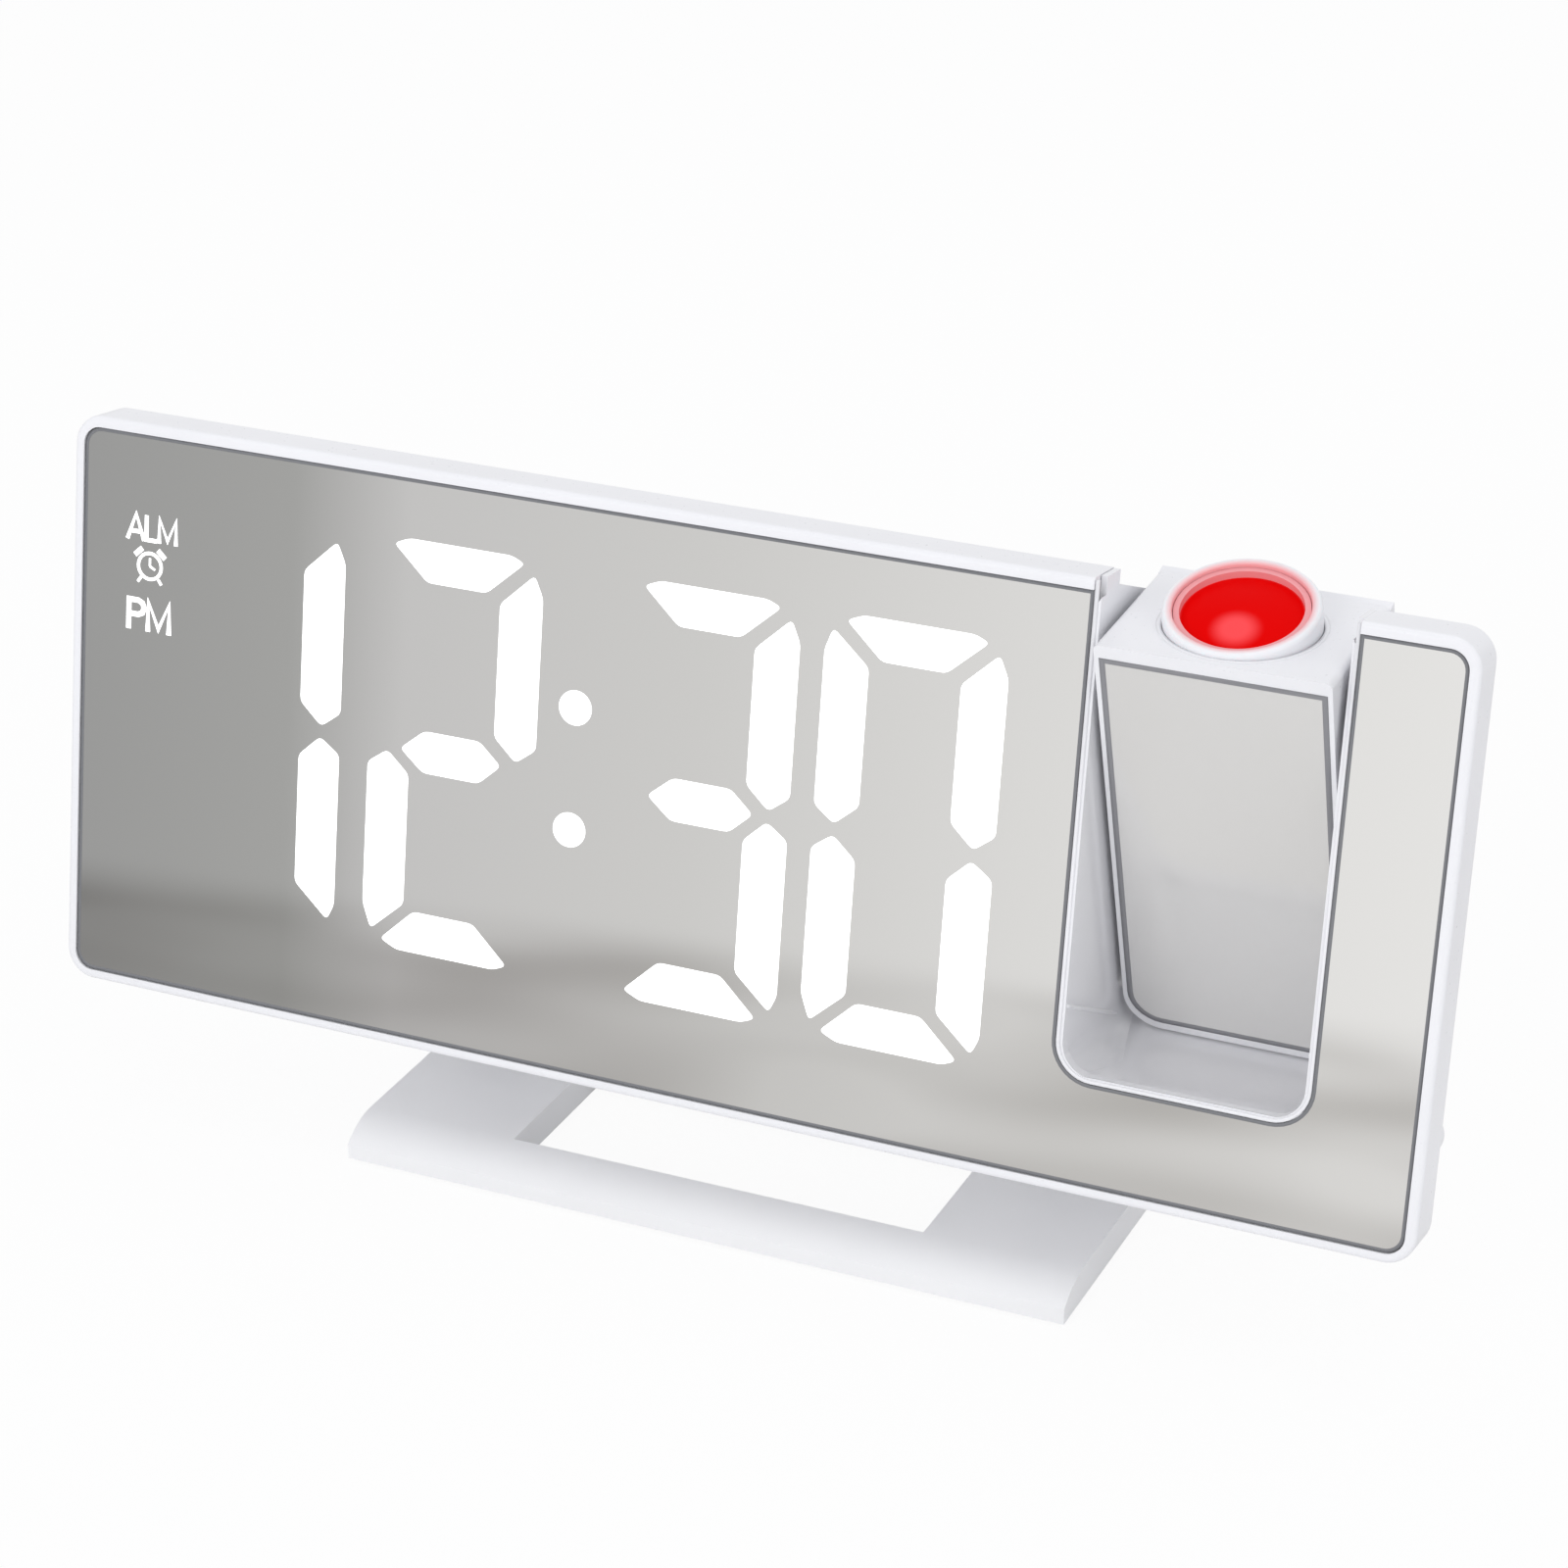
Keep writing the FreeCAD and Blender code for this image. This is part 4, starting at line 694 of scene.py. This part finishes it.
def make_wall_line(name, side, rise, fall, thick):
    """Moulded line on a side wall of the slot: a half circle, squashed against the wall, carried
    back along a straight line that starts at a height and falls by a share of its depth."""
    swell = np.linspace(0, np.pi, WALL_LINE_SWELL_STEPS)
    depth = np.linspace(*WALL_LINE_DEPTHS, WALL_LINE_STEPS)
    wall = SLOT_CENTER + side * (SLOT_WIDTH / 2 - LINER_INSET + WALL_LINE_SINK)
    across = wall - side * WALL_LINE_SQUASH * thick * np.sin(swell)
    height = rise - fall * depth[:, None] + thick * np.cos(swell)
    line = np.stack(np.broadcast_arrays(across[None, :], depth[:, None], height), axis=2)
    faces = grid_faces(WALL_LINE_STEPS, WALL_LINE_SWELL_STEPS, wrap_columns=True).tolist()
    faces += end_caps(WALL_LINE_STEPS, WALL_LINE_SWELL_STEPS)
    mesh_piece(name, on_face(line.reshape(-1, 3)), faces, "clock", WHITE)


def make_lens():
    """Lens dome: an arc from the axis out to the rim, a side wall and a flat foot, turned once
    round the light's way out."""
    spread = math.degrees(LENS_RADIUS / CROWN_RADIUS)
    crown = arc_profile((0, RING_LEVEL - LENS_DROP - CROWN_RADIUS), CROWN_RADIUS,
                        90, 90 - spread, CROWN_STEPS)
    crown[0, 0] = 0.0
    foot = RING_LEVEL - LENS_FOOT_DROP
    dome = np.concatenate([crown, [[LENS_RADIUS, RING_LEVEL - LENS_WALL_DROP],
                                   [LENS_RADIUS, foot], [0.0, foot]]])
    points, faces = turned_surface(dome)
    lens = mesh_piece("lens_dome", on_block(points), faces, "lens",
                      red_lens_material())
    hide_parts("red_lens")


# Profile of the seat's edge, in distances out from the ring and up from the block's sloping top
SEAT_EDGE = np.array([(0.05, -0.4), (0.1, 0.06), (0.75, 0.02), (0.75, -0.4)])


def make_seat_edge():
    """Thin edge round the ring's seat: its profile turned round the ring, and lowered towards
    the back as the block's top falls."""
    angle = np.linspace(0, 2 * np.pi, TURN_STEPS, endpoint=False)[:, None]
    reach = RING_RADIUS + SEAT_EDGE[None, :, 0]
    depth = LENS_OFFSET + reach * np.sin(angle)
    fall = (depth + BLOCK_FRONT) * math.tan(math.radians(TOP_SLOPE))
    height = BLOCK_TOP - fall + SEAT_EDGE[None, :, 1]
    edge = np.stack([reach * np.cos(angle), depth, height], axis=2).reshape(-1, 3)
    mesh_piece("ring_seat_edge", on_block(edge), grid_faces(TURN_STEPS, len(SEAT_EDGE), True, True),
               "projector", WHITE)


def make_focus_grip():
    """Focus ring: a wall between two radii whose top edges are quarter circles, turned once
    round the light's way out."""
    inner, outer = RING_INNER_ROUND, RING_OUTER_ROUND
    wall = np.concatenate([
        [[RING_BORE, RING_FOOT]],
        arc_profile((RING_BORE + inner, RING_LEVEL - inner), inner, 180, 90, RING_INNER_STEPS),
        arc_profile((RING_RADIUS - outer, RING_LEVEL - outer), outer, 90, 0, RING_OUTER_STEPS),
        [[RING_RADIUS, RING_FOOT], [RING_BORE, RING_FOOT]]])
    points, faces = turned_surface(wall)
    ring = mesh_piece("focus_grip", on_block(points), faces, "focus_ring",
                      ring_material())
    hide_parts("focus_ring")


# Studio. Places and sizes in metres, power in watts.
FLOOR_REACH = 3.0
FLOOR_SHOWN_WHITE = 0.93    # share of pure white in the floor that the camera sees
WORLD_STRENGTH = 0.75
LAMP_AIM = (0, 0, 0.04)
LAMPS = (("key", (-0.2, -1.1, 0.5), 4.0, 0.7), ("top", (0.1, 0.25, 1.2), 1.9, 0.9),
         ("fill", (0.9, -0.3, 0.5), 1.1, 0.8))
MIRRORED_LAMP = "top"       # the only lamp that the mirrors show
BAND_SLANT = 0.4            # share of x in the value that the band's edge follows
BAND_EDGE = (-0.25, -0.20)  # values between which the band comes in
BAND_PATCH_SIZE = 75.0      # millimetres
BAND_DEPTH = (0.16, 0.56)   # how far the band's patches go towards its dark tone


def reflected_tone(tree):
    """Tone of the floor that a mirror shows: pale, with a softly darker band near the clock,
    where y plus a share of x is past an edge. The band is mottled, so that the mirror has
    depth to it."""
    place = add(tree, "ShaderNodeTexCoord").outputs["Object"]
    split = add(tree, "ShaderNodeSeparateXYZ", None, {"Vector": place})
    slant = add(tree, "ShaderNodeMath", {"operation": "MULTIPLY_ADD", 1: BAND_SLANT},
                {0: split.outputs["X"], 2: split.outputs["Y"]})
    band = add(tree, "ShaderNodeMapRange",
               {"interpolation_type": "SMOOTHSTEP", "From Min": BAND_EDGE[0],
                "From Max": BAND_EDGE[1]}, {"Value": slant.outputs["Value"]})
    patches = add(tree, "ShaderNodeTexNoise",
                  {"Scale": noise_scale(BAND_PATCH_SIZE), "Detail": 1.0}, {"Vector": place})
    depth = add(tree, "ShaderNodeMapRange",
                {"From Min": NOISE_SPAN[0], "From Max": NOISE_SPAN[1], "To Min": BAND_DEPTH[0],
                 "To Max": BAND_DEPTH[1]}, {"Value": patches.outputs["Fac"]})
    share = add(tree, "ShaderNodeMath", {"operation": "MULTIPLY"},
                {0: band.outputs["Result"], 1: depth.outputs["Result"]})
    ramp = add(tree, "ShaderNodeValToRGB", None, {"Fac": share.outputs["Value"]})
    for step, code in zip(ramp.color_ramp.elements, ("#FFFFFF", "#8E8882")):
        step.color = colour(code)
    return ramp.outputs["Color"]


def make_floor():
    """Pale paper floor: nearly white to the camera, the reflected tone to a mirror, and plain
    paper to the lamps."""
    reach = FLOOR_REACH
    mesh = bpy.data.meshes.new("floor")
    mesh.from_pydata([(-reach, -reach, 0), (reach, -reach, 0), (reach, reach, 0),
                      (-reach, reach, 0)], [], [(0, 1, 2, 3)])
    floor = bpy.data.objects.new("floor", mesh)
    bpy.context.scene.collection.objects.link(floor)
    material = bpy.data.materials.new("pale_paper_floor")
    material.use_nodes = True
    tree = material.node_tree
    tree.nodes.clear()
    way = add(tree, "ShaderNodeLightPath")
    paper = add(tree, "ShaderNodeBsdfDiffuse", {"Color": colour("#F4F4F4")})
    seen = add(tree, "ShaderNodeEmission", {"Color": colour("#FFFFFF")})
    mirrored = add(tree, "ShaderNodeEmission", {"Strength": 1.0}, {"Color": reflected_tone(tree)})
    share = add(tree, "ShaderNodeMath", {"operation": "MULTIPLY", 1: FLOOR_SHOWN_WHITE},
                {0: way.outputs["Is Camera Ray"]})
    first = add(tree, "ShaderNodeMixShader", None, {0: share.outputs["Value"],
                                                    1: paper.outputs["BSDF"],
                                                    2: seen.outputs["Emission"]})
    both = add(tree, "ShaderNodeMixShader", None, {0: way.outputs["Is Glossy Ray"],
                                                   1: first.outputs["Shader"],
                                                   2: mirrored.outputs["Emission"]})
    add(tree, "ShaderNodeOutputMaterial", None, {"Surface": both.outputs["Shader"]})
    mesh.materials.append(material)


def make_world():
    """Pale world: white to the camera and the mirrors, and a softer light on the clock."""
    world = bpy.data.worlds.new("pale_studio")
    bpy.context.scene.world = world
    world.use_nodes = True
    tree = world.node_tree
    tree.nodes.clear()
    way = add(tree, "ShaderNodeLightPath")
    shown = add(tree, "ShaderNodeMath", {"operation": "MAXIMUM"},
                {0: way.outputs["Is Camera Ray"], 1: way.outputs["Is Glossy Ray"]})
    light = add(tree, "ShaderNodeBackground", {"Color": colour("#F4F5F8"),
                                               "Strength": WORLD_STRENGTH})
    seen = add(tree, "ShaderNodeBackground", {"Color": colour("#FFFFFF"), "Strength": 1.0})
    both = add(tree, "ShaderNodeMixShader", None, {0: shown.outputs["Value"],
                                                   1: light.outputs["Background"],
                                                   2: seen.outputs["Background"]})
    add(tree, "ShaderNodeOutputWorld", None, {"Surface": both.outputs["Shader"]})


def place_facing(holder, place, aim):
    """Put a lamp or camera at a place with its view along the line to its aim."""
    holder.location = place
    holder.rotation_euler = (Vector(aim) - Vector(place)).to_track_quat("-Z", "Y").to_euler()
    bpy.context.scene.collection.objects.link(holder)


def make_lamps():
    """Three large soft lamps."""
    for name, place, power, width in LAMPS:
        lamp = bpy.data.lights.new(name, "AREA")
        lamp.energy = power
        lamp.size = width
        holder = bpy.data.objects.new(name, lamp)
        holder.visible_glossy = name == MIRRORED_LAMP
        place_facing(holder, place, LAMP_AIM)


def make_camera():
    """The photograph's camera."""
    camera = bpy.data.cameras.new("photo_camera")
    camera.lens = CAMERA_LENS
    camera.sensor_width = CAMERA_SENSOR
    camera.clip_start = CAMERA_NEAR
    holder = bpy.data.objects.new("photo_camera", camera)
    place_facing(holder, CAMERA_PLACE, CAMERA_AIM)
    bpy.context.scene.camera = holder


make_floor()
make_world()
make_lamps()
make_camera()
bpy.context.scene.view_settings.view_transform = "Standard"
dress_nodes()
make_figures()
make_words()
make_alarm_mark()
make_trims()
make_lens()
make_seat_edge()
make_focus_grip()
